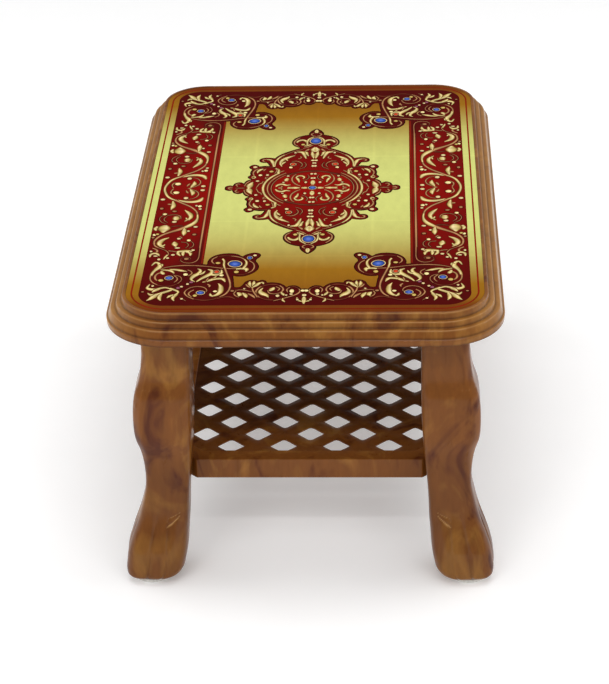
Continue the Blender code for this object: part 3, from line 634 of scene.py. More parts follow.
# Strokes of the border, one quarter of the table: (style, widths along it, points), in mm
BORDER_STROKES = [
    ("line", (1.8, 1.8), [(110.0, 0), (110.0, 90), (110.0, 186)]),
    ("blush", (2.1, 2.2, 2.2, 2.0), [(114.8, 0), (114.8, 60), (114.8, 120), (114.8, 150)]),
    ("faded", (2.0, 1.8, 1.6), [(114.8, 149), (114.6, 160), (114.6, 172), (116.5, 180), (122, 184.4),
                               (129, 183.2), (133, 178.6)]),
    ("dim", (1.4, 1.6, 1.2), [(133, 179), (132.4, 173), (127, 170.4), (122.6, 174), (124.6, 178.4)]),
    # double loop at the middle of the side
    ("blush", (1.6, 1.7, 1.2, 0.6), [(141, -2), (134.5, 3), (128.8, 8), (126.6, 14), (127.2, 20),
                                     (131, 26), (137, 29)]),
    ("gold", (2.4, 3.2, 3.4, 2.6), [(165.2, -6), (165, 4), (163, 13), (160, 21), (155, 27.4), (149, 31.6)]),
    ("cream", (1.0, 3.4, 5.4, 5.6, 6.4, 2.0), [(150.5, 29.6), (144, 32.2), (137, 34.6), (130, 34.6),
                                              (124.4, 31.6), (121.2, 24.4)]),
    ("blush", (3.4, 3.0, 2.4, 2.0), [(151, 30.6), (146, 35.2), (140.4, 40.6), (134, 46.4), (129, 53),
                                     (125, 61), (123.4, 69)]),
    ("gold", (2.0, 2.6, 5.4, 7.0, 5.0), [(123.4, 68), (122.8, 77), (124.4, 86), (129, 94), (136.4, 101.6)]),
    ("gold", (1.4, 4.6, 6.2, 5.4, 0.6), [(153.4, 33), (152.2, 40), (151.8, 46), (153.8, 55)]),
    ("blush", (3.2, 3.6, 1.6), [(154.6, 41.6), (157, 41), (158.6, 40.6)]),
    ("blush", (1.4, 1.8, 1.0), [(155.8, 1), (157.6, 7), (157.4, 12), (154, 16.2)]),
    ("gold", (0.8, 5.0, 6.2, 4.8, 0.8), [(136.6, 2.6), (134.4, 7), (132.8, 12), (133.6, 18.4)]),
    ("blush", (1.0, 3.0, 1.2), [(141, 5.6), (139.8, 9.4), (138.2, 12.6)]),
    # second spiral
    ("dim", (3.0, 3.4, 2.6), [(137, 96.4), (143.4, 95.8), (150, 97.6)]),
    ("gold", (0.6, 4.6, 6.6, 5.2, 3.8, 1.4), [(138.4, 56), (134.2, 62), (131.2, 68), (130.2, 74.4),
                                             (132.4, 80), (136.4, 84.4)]),
    ("cream", (2.6, 2.4, 0.8), [(131, 80.6), (134.4, 79.6), (135.6, 75.4)]),
    ("faded", (1.2, 1.5, 1.4, 0.8), [(159.6, 68.4), (163.4, 73), (164.4, 79), (161.6, 86), (156, 91)]),
    ("faded", (1.0, 1.8, 1.4, 0.8), [(157, 72.4), (159.4, 77), (158.6, 82.6), (154.6, 87.6)]),
    ("faded", (1.0, 1.6, 2.0, 1.6), [(156.6, 70.4), (151, 68), (145.4, 69), (142, 72.6), (141.2, 78.6)]),
    ("gold", (6.0, 8.6, 8.6, 4.6), [(146.2, 72.6), (146, 75.4), (146, 78.4), (146.2, 81.4)]),
    # main stem to the third spiral
    ("blush", (6.6, 5.2, 3.6, 3.0, 2.6, 2.2), [(134.6, 99.8), (141, 105), (149, 110.6), (156.4, 116.6),
                                              (161.6, 123.6), (164.6, 131.6), (164.6, 138.6)]),
    ("blush", (2.2, 2.0, 1.6), [(164.7, 137), (163.4, 143.4), (159, 149)]),
    ("faded", (1.6, 1.4, 2.0, 2.2, 1.4), [(159.4, 148.6), (154, 152.6), (149.6, 157), (147.2, 163),
                                         (147.2, 167)]),
    ("cream", (1.8, 2.6, 1.0), [(147.6, 165.4), (149.4, 170.6), (151, 176)]),
    ("gold", (2.6, 8.4, 14.6, 16.2, 13.2, 6.0), [(157.8, 112.2), (157.6, 108), (157.6, 103.6),
                                                (157.4, 99.6), (157, 96.4), (157, 94.4)]),
    ("cream", (3.4, 4.6, 2.2), [(164.4, 97.6), (166.2, 102.4), (165, 107)]),
    ("gold", (1.0, 5.0, 7.0, 5.4, 0.8), [(135.4, 101), (134.6, 106), (134.4, 111.6), (134.6, 119.6)]),
    ("gold", (0.8, 4.6, 7.2, 6.6, 4.2, 1.0), [(149.6, 124.6), (154, 128), (157.4, 132.6), (158.8, 138.6),
                                             (157, 144), (152.6, 148.8)]),
    ("cream", (2.8, 2.6, 0.8), [(157.2, 141.6), (154.6, 144), (153.2, 140.6)]),
    ("faded", (1.4, 1.5, 1.0), [(136, 135.4), (130.8, 136.6), (128.2, 140.4), (128, 145), (130.4, 149.4)]),
    ("faded", (0.8, 1.4, 1.4, 0.8), [(127, 132.6), (123.4, 136.8), (122.2, 142), (123.2, 146.6),
                                     (126.4, 150.4)]),
    ("gold", (1.6, 6.6, 8.0, 5.0, 1.0), [(143, 134.6), (142.4, 138.4), (141.6, 142), (140.6, 146.4)]),
    ("blush", (1.0, 1.4, 1.0), [(138.6, 121.8), (136, 124.6), (137.4, 128.6)]),
    # leaf and buds at the end of the side
    ("faded", (2.4, 2.8, 2.2), [(147.6, 156.4), (143, 157.4), (139, 159)]),
    ("gold", (1.2, 6.4, 8.0, 6.0, 1.2), [(138.6, 157.6), (134, 157.4), (129, 157.2), (124, 156.8),
                                        (120.6, 154)]),
    ("cream", (3.2, 3.6, 1.0), [(136.6, 158.4), (136.8, 162.6), (134, 168)]),
    ("cream", (3.2, 4.0, 1.0), [(131, 158.4), (131.4, 163), (131, 168)]),
    ("cream", (3.2, 4.0, 1.0), [(126.6, 158.4), (123.6, 162.6), (123.4, 168)]),
    ("blush", (1.4, 2.4, 2.6, 2.2), [(165.2, 149.6), (161, 153), (159.4, 157.4), (161.6, 162.4)]),
    ("cream", (0.8, 3.2, 3.8, 3.2, 0.8), [(166.4, 171), (166, 164.4), (161.6, 161.6), (157.4, 164.6),
                                         (156.6, 168.4)]),
    # corner block: spiral round the outer stone
    ("cream", (1.4, 3.0, 3.6, 6.4, 4.2, 3.0, 0.8), [(161.4, 217), (160, 207), (157.2, 199.6),
                                                    (154.2, 193.4), (155, 187.2), (158.6, 183.6),
                                                    (162, 190.6)]),
    ("cream", (1.4, 1.2), [(154, 189.6), (151.2, 187), (150.6, 192)]),
    ("blush", (1.5, 1.6, 1.6, 1.2), [(161.4, 213), (160.8, 222), (157.4, 229.4), (151.6, 234.8)]),
    ("dim", (2.0, 2.2, 2.2, 1.4), [(152.6, 234.6), (145, 237.6), (137, 236.2), (131, 231)]),
    ("faded", (1.2, 1.6, 1.6, 1.2), [(131.4, 231.6), (128.4, 225), (128.8, 218.4), (132.6, 213.8),
                                     (138, 212.2)]),
    ("blush", (1.2, 1.5, 0.8), [(136.4, 213.8), (133.2, 219), (133, 224), (135.6, 229)]),
    ("blush", (2.6, 2.2, 2.4, 2.2, 1.2), [(149.6, 205.6), (154.6, 209.6), (156.4, 216), (155, 222.4),
                                         (150.4, 227)]),
    ("cream", (2.2, 5.4, 3.0), [(150.4, 203.6), (149.6, 206.6), (147.4, 210.4)]),
    ("gold", (1.0, 3.8, 4.4, 1.2), [(151.6, 200.4), (145.6, 201), (140.4, 203), (137, 208.6)]),
    ("gold", (1.4, 4.4, 4.6, 0.8), [(142.6, 199.4), (136.6, 199.8), (130.6, 202), (124, 204.4)]),
    ("blush", (0.8, 1.4, 1.4, 1.0), [(123.6, 200.6), (119.6, 204.6), (118.8, 209.6), (122, 214.4)]),
    # arching stem over the block
    ("faded", (1.2, 3.0, 3.0, 2.6), [(152.6, 199.6), (146.6, 195), (137, 192), (126, 190.8), (114, 191.4)]),
    ("faded", (2.6, 2.4, 2.4, 3.0), [(116, 191.2), (104, 193.2), (93, 196.2), (83, 198.2), (72, 198.8)]),
    ("cream", (2.6, 4.4, 5.6, 1.4), [(73.4, 198.8), (66.6, 197.6), (61.8, 199.4), (62.4, 204.8)]),
    ("gold", (3.2, 3.4, 2.4, 1.6), [(66, 197.6), (63.6, 190), (63.4, 183), (66, 176.4)]),
    ("blush", (1.6, 1.4, 1.0), [(65.6, 177.2), (69.6, 172.8), (75, 170.2), (81, 168.8)]),
    ("dim", (1.6, 2.0, 1.6), [(80, 169), (87.6, 168.4), (94, 170.6)]),
    ("blush", (0.8, 1.8, 1.6, 0.8), [(94.6, 170.4), (98.8, 175.6), (99.6, 181.6), (96.6, 187.4)]),
    ("blush", (1.0, 1.6, 1.4, 0.8), [(60.6, 179.6), (56, 186), (54.4, 194), (56, 202.6), (60.4, 208.6)]),
    ("dim", (1.0, 1.6, 1.0), [(60, 208.4), (66, 212), (73, 211)]),
    # upright stem and spiral round the inner stone
    ("gold", (2.6, 2.4, 2.0), [(88.6, 175.4), (86.6, 181), (86.4, 189), (85, 198)]),
    ("blush", (2.0, 2.0, 2.0), [(85.2, 196.6), (82.6, 207.6), (79.8, 219), (77.6, 230), (76.8, 239)]),
    ("blush", (2.0, 2.2, 2.0, 1.6), [(76.8, 238), (77.8, 247), (81, 255.6), (87, 262.6)]),
    ("dim", (2.0, 2.4, 2.0), [(86, 261.8), (93.6, 267), (103, 268.6), (112, 266)]),
    ("blush", (1.0, 1.6, 1.6, 1.2), [(112.4, 266), (119, 260.4), (122.8, 252.6), (121.4, 245.6)]),
    ("faded", (1.4, 2.2, 2.6, 2.0, 1.2), [(121.6, 246.2), (116.6, 240.6), (109.6, 238.6), (103.4, 241.2),
                                         (100.4, 247.4), (102.4, 252.6)]),
    ("blush", (1.0, 1.8, 1.6, 0.8), [(113.6, 246), (117.6, 250.6), (118.2, 256), (114.6, 262)]),
    ("gold", (0.6, 5.0, 6.8, 6.2, 4.6, 1.6), [(89.4, 231.6), (86.6, 237.6), (85.8, 244.6), (86.4, 251.6),
                                             (89.6, 257.4), (95.6, 260.6)]),
    ("cream", (1.8, 3.4, 0.6), [(93, 260.4), (95.6, 258.6), (96.6, 254)]),
    ("blush", (1.8, 2.8, 1.0), [(100.4, 233.4), (98, 236.4), (98.6, 240)]),
    # three-leaved calyx
    ("cream", (0.8, 2.2, 5.0, 6.4, 4.6, 3.4, 0.8), [(114.6, 228), (118.6, 222.4), (116.6, 215),
                                                    (112.6, 210), (110.6, 205), (111, 200.4),
                                                    (113.6, 198.6)]),
    ("cream", (2.8, 2.6, 0.8), [(110.6, 210.6), (107.6, 208.6), (105.4, 203.6)]),
    ("cream", (1.0, 3.2, 5.2, 5.8, 4.6, 1.6), [(112.6, 227.6), (108, 220.4), (102.4, 213.8), (98.4, 208.4),
                                              (98.6, 203), (102.6, 200)]),
    ("cream", (4.6, 4.0, 3.4, 1.2), [(97.6, 211.4), (92.6, 212), (88.6, 209), (88.4, 201)]),
    ("gold", (0.8, 4.0, 5.4, 2.6, 0.8), [(106.4, 229), (101, 226), (96.6, 222.4), (94, 218.6), (92.8, 215)]),
    ("gold", (2.6, 5.2, 4.6, 0.8), [(96, 223), (90.6, 220.8), (85.6, 221.6), (82.4, 228.6)]),
    ("blush", (0.8, 1.6, 0.8), [(103, 228.6), (101.8, 223), (100.6, 218.8)]),
    # acanthus at the outer corner
    ("cream", (1.4, 3.0, 4.6, 5.6, 2.6, 0.8), [(137.6, 244), (143.6, 241), (149.4, 243), (156, 245.4),
                                              (162.4, 241.6), (160.4, 233)]),
    ("gold", (3.4, 6.4, 4.4, 0.8), [(149, 243), (152.4, 246), (154.6, 248.6), (156, 251.6)]),
    ("cream", (1.4, 4.0, 4.4, 4.6, 4.0, 0.8), [(134.6, 244.6), (139.4, 248.6), (145, 252.4), (151, 256),
                                              (157.4, 257), (160.6, 252.6)]),
    ("gold", (2.0, 6.6, 7.6, 5.0, 0.8), [(147, 252.6), (151, 257), (154.4, 262), (157.2, 266.4),
                                         (160.4, 269.4)]),
    ("gold", (2.0, 5.2, 4.6, 0.8), [(146, 253.6), (147.4, 259), (147.6, 264), (145.6, 269.6)]),
    ("cream", (3.4, 3.2, 2.4, 1.2), [(138.6, 242.2), (133.6, 245.4), (129.4, 249.6), (129.6, 255.4)]),
    ("gold", (1.6, 4.8, 5.0, 3.4, 0.8), [(129.6, 252.6), (131.6, 257.8), (133.4, 261.6), (133.6, 265.6),
                                         (132, 270)]),
    ("cream", (2.0, 4.0, 0.8), [(133.6, 257), (137, 259.6), (139.6, 263.6)]),
    ("faded", (1.0, 1.4, 0.8), [(126.8, 262.6), (123.6, 266.4), (120, 270)]),
    ("dim", (1.0, 3.0, 3.4, 1.0), [(89, 265.6), (82, 261.8), (75, 261.8), (69.6, 267)]),
    # frieze: rings, leaves and the palmette on the axis
    ("dim", (1.2, 2.0, 2.0, 1.0), [(46, 262), (41, 266.4), (33.6, 268.6), (26, 267.6)]),
    ("blush", (1.0, 1.8, 2.0, 1.6), [(45.6, 263), (49, 256), (49.6, 248.6), (46.6, 241), (43.4, 238)]),
    ("dim", (1.4, 3.2, 3.2, 1.4), [(44.6, 239), (38, 235), (31, 234.4), (25.6, 237.4)]),
    ("blush", (1.2, 1.8, 1.8, 1.0), [(26, 237), (22.6, 242), (22.2, 248), (25, 253)]),
    ("faded", (1.4, 2.6, 2.6, 1.6), [(24.6, 252.6), (30, 255), (35.6, 253.4), (37.8, 247.4)]),
    ("blush", (0.8, 1.6, 0.8), [(29.6, 239.6), (25.8, 243.6), (27.6, 249)]),
    ("gold", (0.8, 3.0, 6.6, 7.6, 5.0, 0.8), [(42.8, 242.4), (45, 247.4), (44.4, 252), (41.4, 255.6),
                                             (38.2, 258.6), (36.4, 263)]),
    ("cream", (2.4, 6.0, 5.4, 1.6), [(36, 248.6), (34, 245.4), (33, 243.6), (31.6, 241)]),
    ("blush", (1.0, 2.0, 1.8, 1.2), [(21, 265.4), (14, 261), (8, 256.4), (4.8, 250.6), (5.6, 244.6)]),
    ("dim", (1.0, 2.2, 1.0), [(5.8, 244.4), (10.6, 239.8), (15.8, 241.4)]),
    ("blush", (0.8, 1.6, 0.8), [(15.4, 241), (18.2, 245.6), (17.2, 252)]),
    ("faded", (2.4, 2.0, 2.2), [(20.6, 265.4), (26, 267.8), (31, 270.4)]),
    ("gold", (1.0, 3.2, 1.0), [(21.4, 265), (21.4, 269), (19, 273)]),
    ("cream", (0.8, 3.6, 2.8, 0.8), [(23.6, 251.6), (22, 255), (19.6, 258.4), (17.4, 260)]),
    ("blush", (1.2, 2.2, 1.8, 1.4), [(47.6, 262.6), (50.4, 255), (53, 247.6), (54, 240.6)]),
    ("gold", (1.2, 4.6, 4.4, 1.0), [(54, 241.6), (56.4, 236.6), (57.4, 232), (57, 227.4)]),
    ("cream", (1.2, 3.8, 3.6, 1.0), [(53.8, 240.6), (53.4, 235.6), (53.2, 231), (53, 226.8)]),
    ("gold", (1.2, 5.0, 4.2, 1.0), [(53.6, 240.6), (50, 236), (47.4, 231.6), (44, 228)]),
    ("cream", (1.4, 2.6, 0.8), [(46.4, 230.6), (43.6, 229.6), (42.6, 233.6)]),
    ("blush", (1.0, 2.6, 0.8), [(60.8, 234), (59, 238), (56, 241.6)]),
    ("faded", (1.2, 2.4, 2.2, 1.2), [(71, 247.6), (65.6, 246.6), (60, 248), (54, 250.4)]),
    ("blush", (1.0, 1.4, 1.2, 0.8), [(70.2, 249.6), (72, 254), (70.4, 259), (66.6, 262.6)]),
    ("blush", (0.8, 1.6, 0.8), [(63.8, 245.4), (62, 241.8), (59.8, 245)]),
    ("cream", (1.0, 6.2, 5.0, 1.0), [(68.4, 252), (66, 254.6), (65.4, 257.6), (67, 260.4)]),
    ("gold", (1.0, 5.8, 4.6, 0.8), [(63, 253), (60.6, 256.6), (59.4, 259.8), (58.8, 264)]),
    ("blush", (0.8, 3.4, 3.0, 0.8), [(57.6, 254.6), (54.6, 257.4), (52, 260.6), (50, 264.6)]),
    ("gold", (1.6, 4.2, 4.4, 2.8, 0.6), [(0.2, 262), (0.2, 265.6), (0.2, 269.6), (0.2, 273.6),
                                         (0.2, 277.4)]),
    ("cream", (0.8, 2.4, 2.6, 0.8), [(1.6, 272.4), (4.6, 271.2), (7.2, 267.6), (7.4, 263.6)]),
]
BORDER_BEADS = [
    ("cream", 151.6, 11.4, 3.8, 3.8), ("blush", 139.6, 25.8, 3.0, 3.4), ("blush", 122.6, 5.2, 3.0, 2.8),
    ("blush", 165, 29, 3.0, 2.8), ("faded", 164.2, 52.4, 2.4, 3.0), ("cream", 122.6, 47, 2.6, 3.0),
    ("blush", 126.4, 45.6, 1.6, 2.0), ("blush", 121.6, 54, 2.0, 2.0), ("faded", 149.4, 59.6, 3.0, 2.2),
    ("cream", 159.4, 66.8, 2.6, 2.6), ("blush", 147.4, 86, 3.0, 2.8), ("blush", 123.2, 98.6, 2.8, 2.2),
    ("cream", 166, 118, 2.4, 2.6), ("gold", 163, 116.4, 2.2, 2.4), ("faded", 167, 124.4, 2.0, 2.4),
    ("blush", 130.2, 109, 1.8, 2.0), ("faded", 123.2, 117.4, 2.6, 2.6), ("cream", 128, 131.6, 2.4, 2.6),
    ("blush", 139, 127.4, 2.4, 2.2), ("blush", 138.8, 149.6, 3.4, 1.8), ("blush", 121.6, 155, 2.2, 2.2),
    ("blush", 142, 166, 2.4, 2.2), ("blush", 147, 173.4, 2.0, 2.0), ("blush", 160.2, 168.6, 2.8, 1.6),
    ("blush", 156, 176.4, 2.0, 2.4), ("blush", 166, 157.6, 1.6, 2.2), ("faded", 127, 175.4, 3.0, 3.0),
    ("gold", 149.6, 224.6, 3.2, 3.2), ("cream", 125, 211.4, 2.8, 3.2), ("cream", 87.4, 213.6, 2.6, 2.6),
    ("violet", 117.6, 229, 2.4, 2.4), ("violet", 130.2, 241.6, 2.4, 2.6), ("blush", 121.2, 233, 1.8, 2.2),
    ("blush", 127, 238.8, 1.8, 2.0), ("cream", 91.6, 249.4, 2.6, 2.2), ("gold", 111.6, 258.6, 2.6, 3.0),
    ("blush", 124.6, 265.6, 1.8, 1.8), ("blush", 156.8, 237, 1.6, 2.0), ("gold", 93, 185.4, 3.0, 2.6),
    ("gold", 72.4, 206, 3.0, 3.4), ("blush", 55, 168, 2.2, 2.4), ("cream", 13, 249.4, 2.6, 4.4),
    ("blush", 13.4, 256, 2.0, 2.0), ("blush", 27.2, 259.6, 2.2, 3.0), ("faded", 74, 248.6, 2.4, 2.2),
    ("cream", 1.8, 248.4, 2.6, 2.6), ("blush", 0.8, 258.4, 1.6, 2.6), ("blush", 6.6, 268, 1.6, 2.0),
    ("faded", 166, 250, 1.8, 1.6), ("blush", 62, 244, 1.4, 1.4), ("blush", 18.4, 258.2, 1.4, 1.6),
]
BORDER_STONES = [
    ("sapphire", 141.6, 219.2, 4.4, 4.6, 0), ("sapphire", 106.4, 252.4, 4.4, 4.4, 0),
    ("sapphire", 75, 187.6, 7.2, 7.8, 40), ("sapphire", 60.2, 173.4, 2.8, 3.8, 0),
    ("garnet", 93, 205.6, 3.0, 3.6, 0),
]

MEDALLION_STROKES = [
    # rings round the inner disc; they fade where the lobes cover them
    ("cream", (2.6, 2.6, 2.6, 2.0), "ring", 55.0, (0, 46)),
    ("blush", (1.7, 1.7, 1.7, 1.3), "ring", 50.4, (0, 52)),
    ("faded", (1.6, 1.6, 1.4), "ring", 46.4, (0, 58)),
    ("dim", (2.6, 3.4, 4.2), "ring", 44.6, (48, 90)),
    ("cream", (2.8, 4.2, 3.0, 1.6), [(39.4, 38.4), (39.6, 44), (40.4, 49.4), (44.6, 53.4)]),
    ("blush", (1.4, 1.8, 1.0), [(38, 42), (35.6, 44.6), (33.4, 46)]),
    # inside the disc
    ("blush", (1.0, 2.4, 2.0, 1.6, 0.8), [(13.4, 4.6), (18.4, 9), (22.2, 15.4), (23.8, 23), (22.6, 31),
                                         (19.4, 37)]),
    ("faded", (0.8, 1.6, 1.4, 0.8), [(11.4, 18.6), (7, 22.6), (4.8, 28.4), (6.6, 35)]),
    ("cream", (0.8, 2.8, 3.4, 1.4), [(15.4, 15), (15.6, 19), (17, 23.6), (19, 28)]),
    ("gold", (1.4, 3.2, 3.4, 3.0, 1.2), [(19.4, 26), (17, 31.4), (12.8, 31.6), (10.2, 28), (11.6, 24)]),
    ("gold", (4.4, 6.6, 3.0), [(30, 18), (29.8, 21), (28.8, 25.6)]),
    ("cream", (1.2, 3.8, 4.0, 3.0, 1.0), [(41, 3.4), (38.4, 7.6), (34, 9.4), (29.6, 6.6), (24.6, 8)]),
    ("blush", (1.6, 2.4, 1.6), [(38, 1), (34.6, 1.6), (34.4, 5)]),
    ("cream", (1.0, 3.6, 4.6, 1.0), [(28, 1.4), (24, 0), (19, 0), (14, 0)]),
    ("gold", (1.0, 4.0, 1.6), [(12.4, 0.8), (8.6, 0.6), (5.6, 0.8)]),
    ("cream", (1.0, 4.4, 3.6, 0.8), [(0.4, 8.6), (0.4, 12.4), (0.4, 15.6), (0.4, 19.6)]),
    # side lobes
    ("gold", (1.4, 8.0, 8.6, 5.0, 0.8), [(71.4, -1), (70.6, 4), (70, 8), (68.8, 12), (67.4, 16)]),
    ("blush", (0.8, 1.6, 1.4, 0.8), [(63, 1), (61.4, 6), (60.2, 10.4), (57, 13.6), (56.2, 18)]),
    ("blush", (1.0, 1.6, 1.2), [(76.4, 5), (74.6, 13), (70, 20)]),
    ("cream", (1.4, 1.8, 1.4, 0.8), [(69.4, 27), (66.4, 25.6), (65.2, 29), (67.4, 31.6), (70, 29.4)]),
    ("blush", (1.2, 1.6, 1.2, 0.8), [(51.6, 23), (54, 25.6), (53.4, 28.8), (50.8, 27.6)]),
    ("blush", (1.2, 2.0, 1.8, 1.4), [(67, 33), (68.4, 39), (67.4, 45.4), (63.4, 51.4)]),
    ("dim", (1.4, 2.4, 2.4, 1.4), [(63, 52), (56.6, 56.2), (49.4, 56.2), (43.4, 52.8)]),
    ("gold", (0.8, 3.8, 4.6, 2.6), [(63.6, 40), (63, 44), (61, 48), (57.6, 51)]),
    ("blush", (0.8, 2.6, 1.0), [(56.8, 45.6), (56.2, 48.4), (54.4, 51)]),
    ("blush", (0.8, 1.4, 1.4), [(44, 38.4), (42.2, 44), (41.6, 50)]),
    ("cream", (2.2, 3.8, 4.8, 3.4, 1.6), [(45.4, 57), (46, 63.6), (47.4, 70), (50, 75.6), (55, 77.6)]),
    ("blush", (1.6, 2.4, 2.0, 0.8), [(54.4, 77.6), (58.6, 76.6), (58.8, 72.6), (56.4, 71.4)]),
    ("blush", (1.4, 2.0, 1.4, 0.8), [(84, 4.6), (86, 8), (84, 11.4), (81.4, 9.6)]),
    ("blush", (0.8, 2.4, 1.0), [(94.8, -1), (92.6, 2.4), (89.4, 2)]),
    ("faded", (1.0, 4.2, 3.4, 0.8), [(86, 0), (82, 0), (78.6, 0), (75, 0)]),
    # onion-shaped lobe
    ("cream", (1.0, 1.8, 2.0, 1.8, 1.2), [(44.6, 58), (44.4, 66), (43, 74.6), (39.6, 83), (34.4, 90)]),
    ("faded", (1.4, 2.0, 2.0, 1.4), [(34.8, 89.4), (28.6, 95.8), (21.6, 101), (14, 105.6)]),
    ("gold", (0.8, 3.0, 4.2, 6.0, 5.6, 3.4, 0.8), [(36.6, 57.6), (38.4, 64), (38, 70.6), (35.2, 76.8),
                                                   (31.4, 81), (27.4, 84.4), (22.6, 88)]),
    ("cream", (1.0, 3.0, 0.8), [(37, 62.6), (35.4, 66.6), (32.6, 70.4)]),
    ("cream", (2.4, 3.0, 0.8), [(35.8, 76.6), (32.8, 77), (31, 73.4)]),
    ("faded", (0.8, 1.8, 2.6, 2.6, 1.4), [(16, 55.6), (13.8, 60.6), (15, 66.6), (20, 71.6), (26, 71)]),
    ("faded", (0.8, 1.4, 1.4, 0.8), [(17, 50), (11, 55), (9.2, 62), (11.6, 69.4)]),
    ("blush", (1.4, 1.8, 0.8), [(18.8, 78.4), (15.4, 81), (16.4, 85.4)]),
    ("cream", (0.6, 3.0, 4.2, 5.4, 2.0), [(9.6, 79), (11, 86), (12.4, 92), (14.6, 97), (21, 98)]),
    ("cream", (0.6, 2.6, 3.4, 0.8), [(7, 86.4), (8.6, 91), (9.6, 96.4), (12, 99)]),
    ("gold", (0.8, 4.4, 5.6, 3.0, 0.8), [(1, 79.4), (1.6, 85), (2.4, 91), (3, 96), (3.4, 101)]),
    ("gold", (2.0, 10.0, 11.4, 7.0, 1.4), [(0.4, 98), (0.4, 101.4), (0.4, 104.6), (0.4, 108), (0.4, 111)]),
    ("blush", (1.2, 3.4, 2.2), [(11.4, 100.6), (9, 102.8), (7.4, 106)]),
    ("blush", (1.0, 1.8, 1.2), [(14, 107.6), (7.6, 112.2), (3, 117.4)]),
    # stone cartouche at the tip
    ("blush", (0.8, 1.8, 1.8, 1.2), [(20, 113.6), (24.2, 119), (25, 126), (22.8, 132.6), (18.6, 138.4)]),
    ("cream", (1.6, 4.0, 4.2, 3.4, 2.0), [(22, 124.6), (19.6, 129), (15.4, 131), (11.6, 128), (10, 122)]),
    ("cream", (1.2, 2.2, 2.0, 1.6), [(12.6, 113.6), (9.6, 118), (9.6, 126), (8, 134), (2.6, 140.6)]),
    ("gold", (1.4, 3.6, 2.0), [(11, 113.6), (8, 116.6), (5, 118)]),
    ("blush", (1.0, 1.8, 1.2), [(0, 141.8), (4.4, 144.6), (5.8, 148.6), (3, 151.4)]),
    ("cream", (1.2, 3.8, 2.4, 0.6), [(0.4, 152), (0.6, 155.6), (0.4, 158.6), (0.2, 161.6)]),
]
MEDALLION_BEADS = [
    ("blush", 8, 14.6, 1.8, 2.6), ("blush", 1.4, 25.6, 1.8, 2.4), ("blush", 2, 37, 2.0, 2.4),
    ("blush", 62.4, 18.4, 2.2, 2.2), ("cream", 60, 34, 2.4, 2.6), ("gold", 48, 43.8, 2.8, 2.8),
    ("blush", 67, 56, 2.8, 2.8), ("cream", 26.4, 54.8, 2.4, 2.6), ("blush", 22.6, 95.4, 1.6, 2.2),
    ("blush", 1.4, 58.6, 1.8, 3.0), ("blush", 1, 66.6, 1.6, 2.0), ("cream", 1.8, 74, 2.4, 2.0),
    ("gold", 14.6, 118.4, 2.8, 2.8), ("blush", 28.4, 31.4, 1.8, 1.8), ("blush", 52, 34.4, 2.0, 2.4),
    ("blush", 33, 14.4, 1.6, 1.4),
]
MEDALLION_STONES = [
    ("sapphire", 0, 0, 4.6, 4.6, 0), ("sapphire", 0, 128.8, 7.2, 9.4, 0), ("garnet", 24, 63.4, 3.4, 3.6, 0),
]


def smooth_path(points, step=STROKE_STEP_MM):
    """A curve through points, each run a cubic whose end slopes are the neighbours' chord."""
    points = np.array(points, float)
    before = np.concatenate([2 * points[:1] - points[1:2], points[:-1]])
    after = np.concatenate([points[1:], 2 * points[-1:] - points[-2:-1]])
    slope = (after - before) / 2
    t = np.linspace(0, 1, 12, endpoint=False)[None, :, None]
    start, end = points[:-1, None], points[1:, None]
    out, into = slope[:-1, None], slope[1:, None]
    run = ((2 * t ** 3 - 3 * t ** 2 + 1) * start + (t ** 3 - 2 * t ** 2 + t) * out
           + (3 * t ** 2 - 2 * t ** 3) * end + (t ** 3 - t ** 2) * into).reshape(-1, 2)
    run = np.concatenate([run, points[-1:]])
    length = np.concatenate([[0], np.cumsum(np.hypot(*np.diff(run, axis=0).T))])
    count = max(5, int(length[-1] / step) + 1)
    places = np.linspace(0, length[-1], count)
    return np.stack([np.interp(places, length, run[:, axis]) for axis in (0, 1)], -1)


def ring_path(radius, start, end):
    """An arc about the table's middle, from one angle to another in degrees from +X."""
    count = max(6, int(radius * math.radians(end - start) / STROKE_STEP_MM))
    angle = np.radians(np.linspace(start, end, count))
    return radius * np.stack([np.cos(angle), np.sin(angle)], -1)


def arc(middle, radius, start, end):
    """Points of an arc about a middle, from one angle to another in degrees from +X."""
    angle = np.radians(np.linspace(start, end, ARC_STEPS))
    return np.stack([middle[0] + radius * np.cos(angle), middle[1] + radius * np.sin(angle)], -1)


def palette():
    """The print's colours by name."""
    paint = colours()
    names = ("gold", "bronze", "umber", "red", "maroon", "cream", "leaf", "blush", "faded",
             "outline", "pin", "sapphire", "garnet")
    return {name: np.array(getattr(paint, name)[:]) for name in names}


def stroke(path, widths, style, level, ink, outline_mm=0.75):
    """A painted stroke: a flat ribbon along a path, at path + side x across.

    Its half width follows widths along the path. The colours run across it from its light
    side to its dark side, inside a thin dark outline, and its edges drop to the film.
    """
    share = np.linspace(0, 1, len(path))
    half = np.interp(share, np.linspace(0, 1, len(widths)), widths) * STROKE_FULLNESS / 2
    way = np.gradient(path, axis=0)
    way /= np.hypot(*way.T)[:, None]
    side = np.stack([-way[:, 1], way[:, 0]], -1)
    edge = half + outline_mm * np.minimum(1, 0.5 + half)
    across = np.stack([-edge, -edge, -half, -half * 0.5, half * 0.5, half, edge, edge], -1)
    flat = path[:, None] + side[:, None] * across[..., None]
    high = np.full(across.shape, level)
    high[:, (0, -1)] = FILM_TOP
    points = np.concatenate([flat * MM, high[..., None]], -1)
    tones = ["outline", "outline", *STYLES[style], "outline", "outline"]
    paint = np.stack([ink[tone] for tone in tones])[None] * np.ones((len(path), 1, 1))
    shade = 0.86 + 0.14 * np.cos(share * 2 * math.pi * 1.5)
    paint = paint * shade[:, None, None]
    return grid(points, paint=paint, inside_out=True)


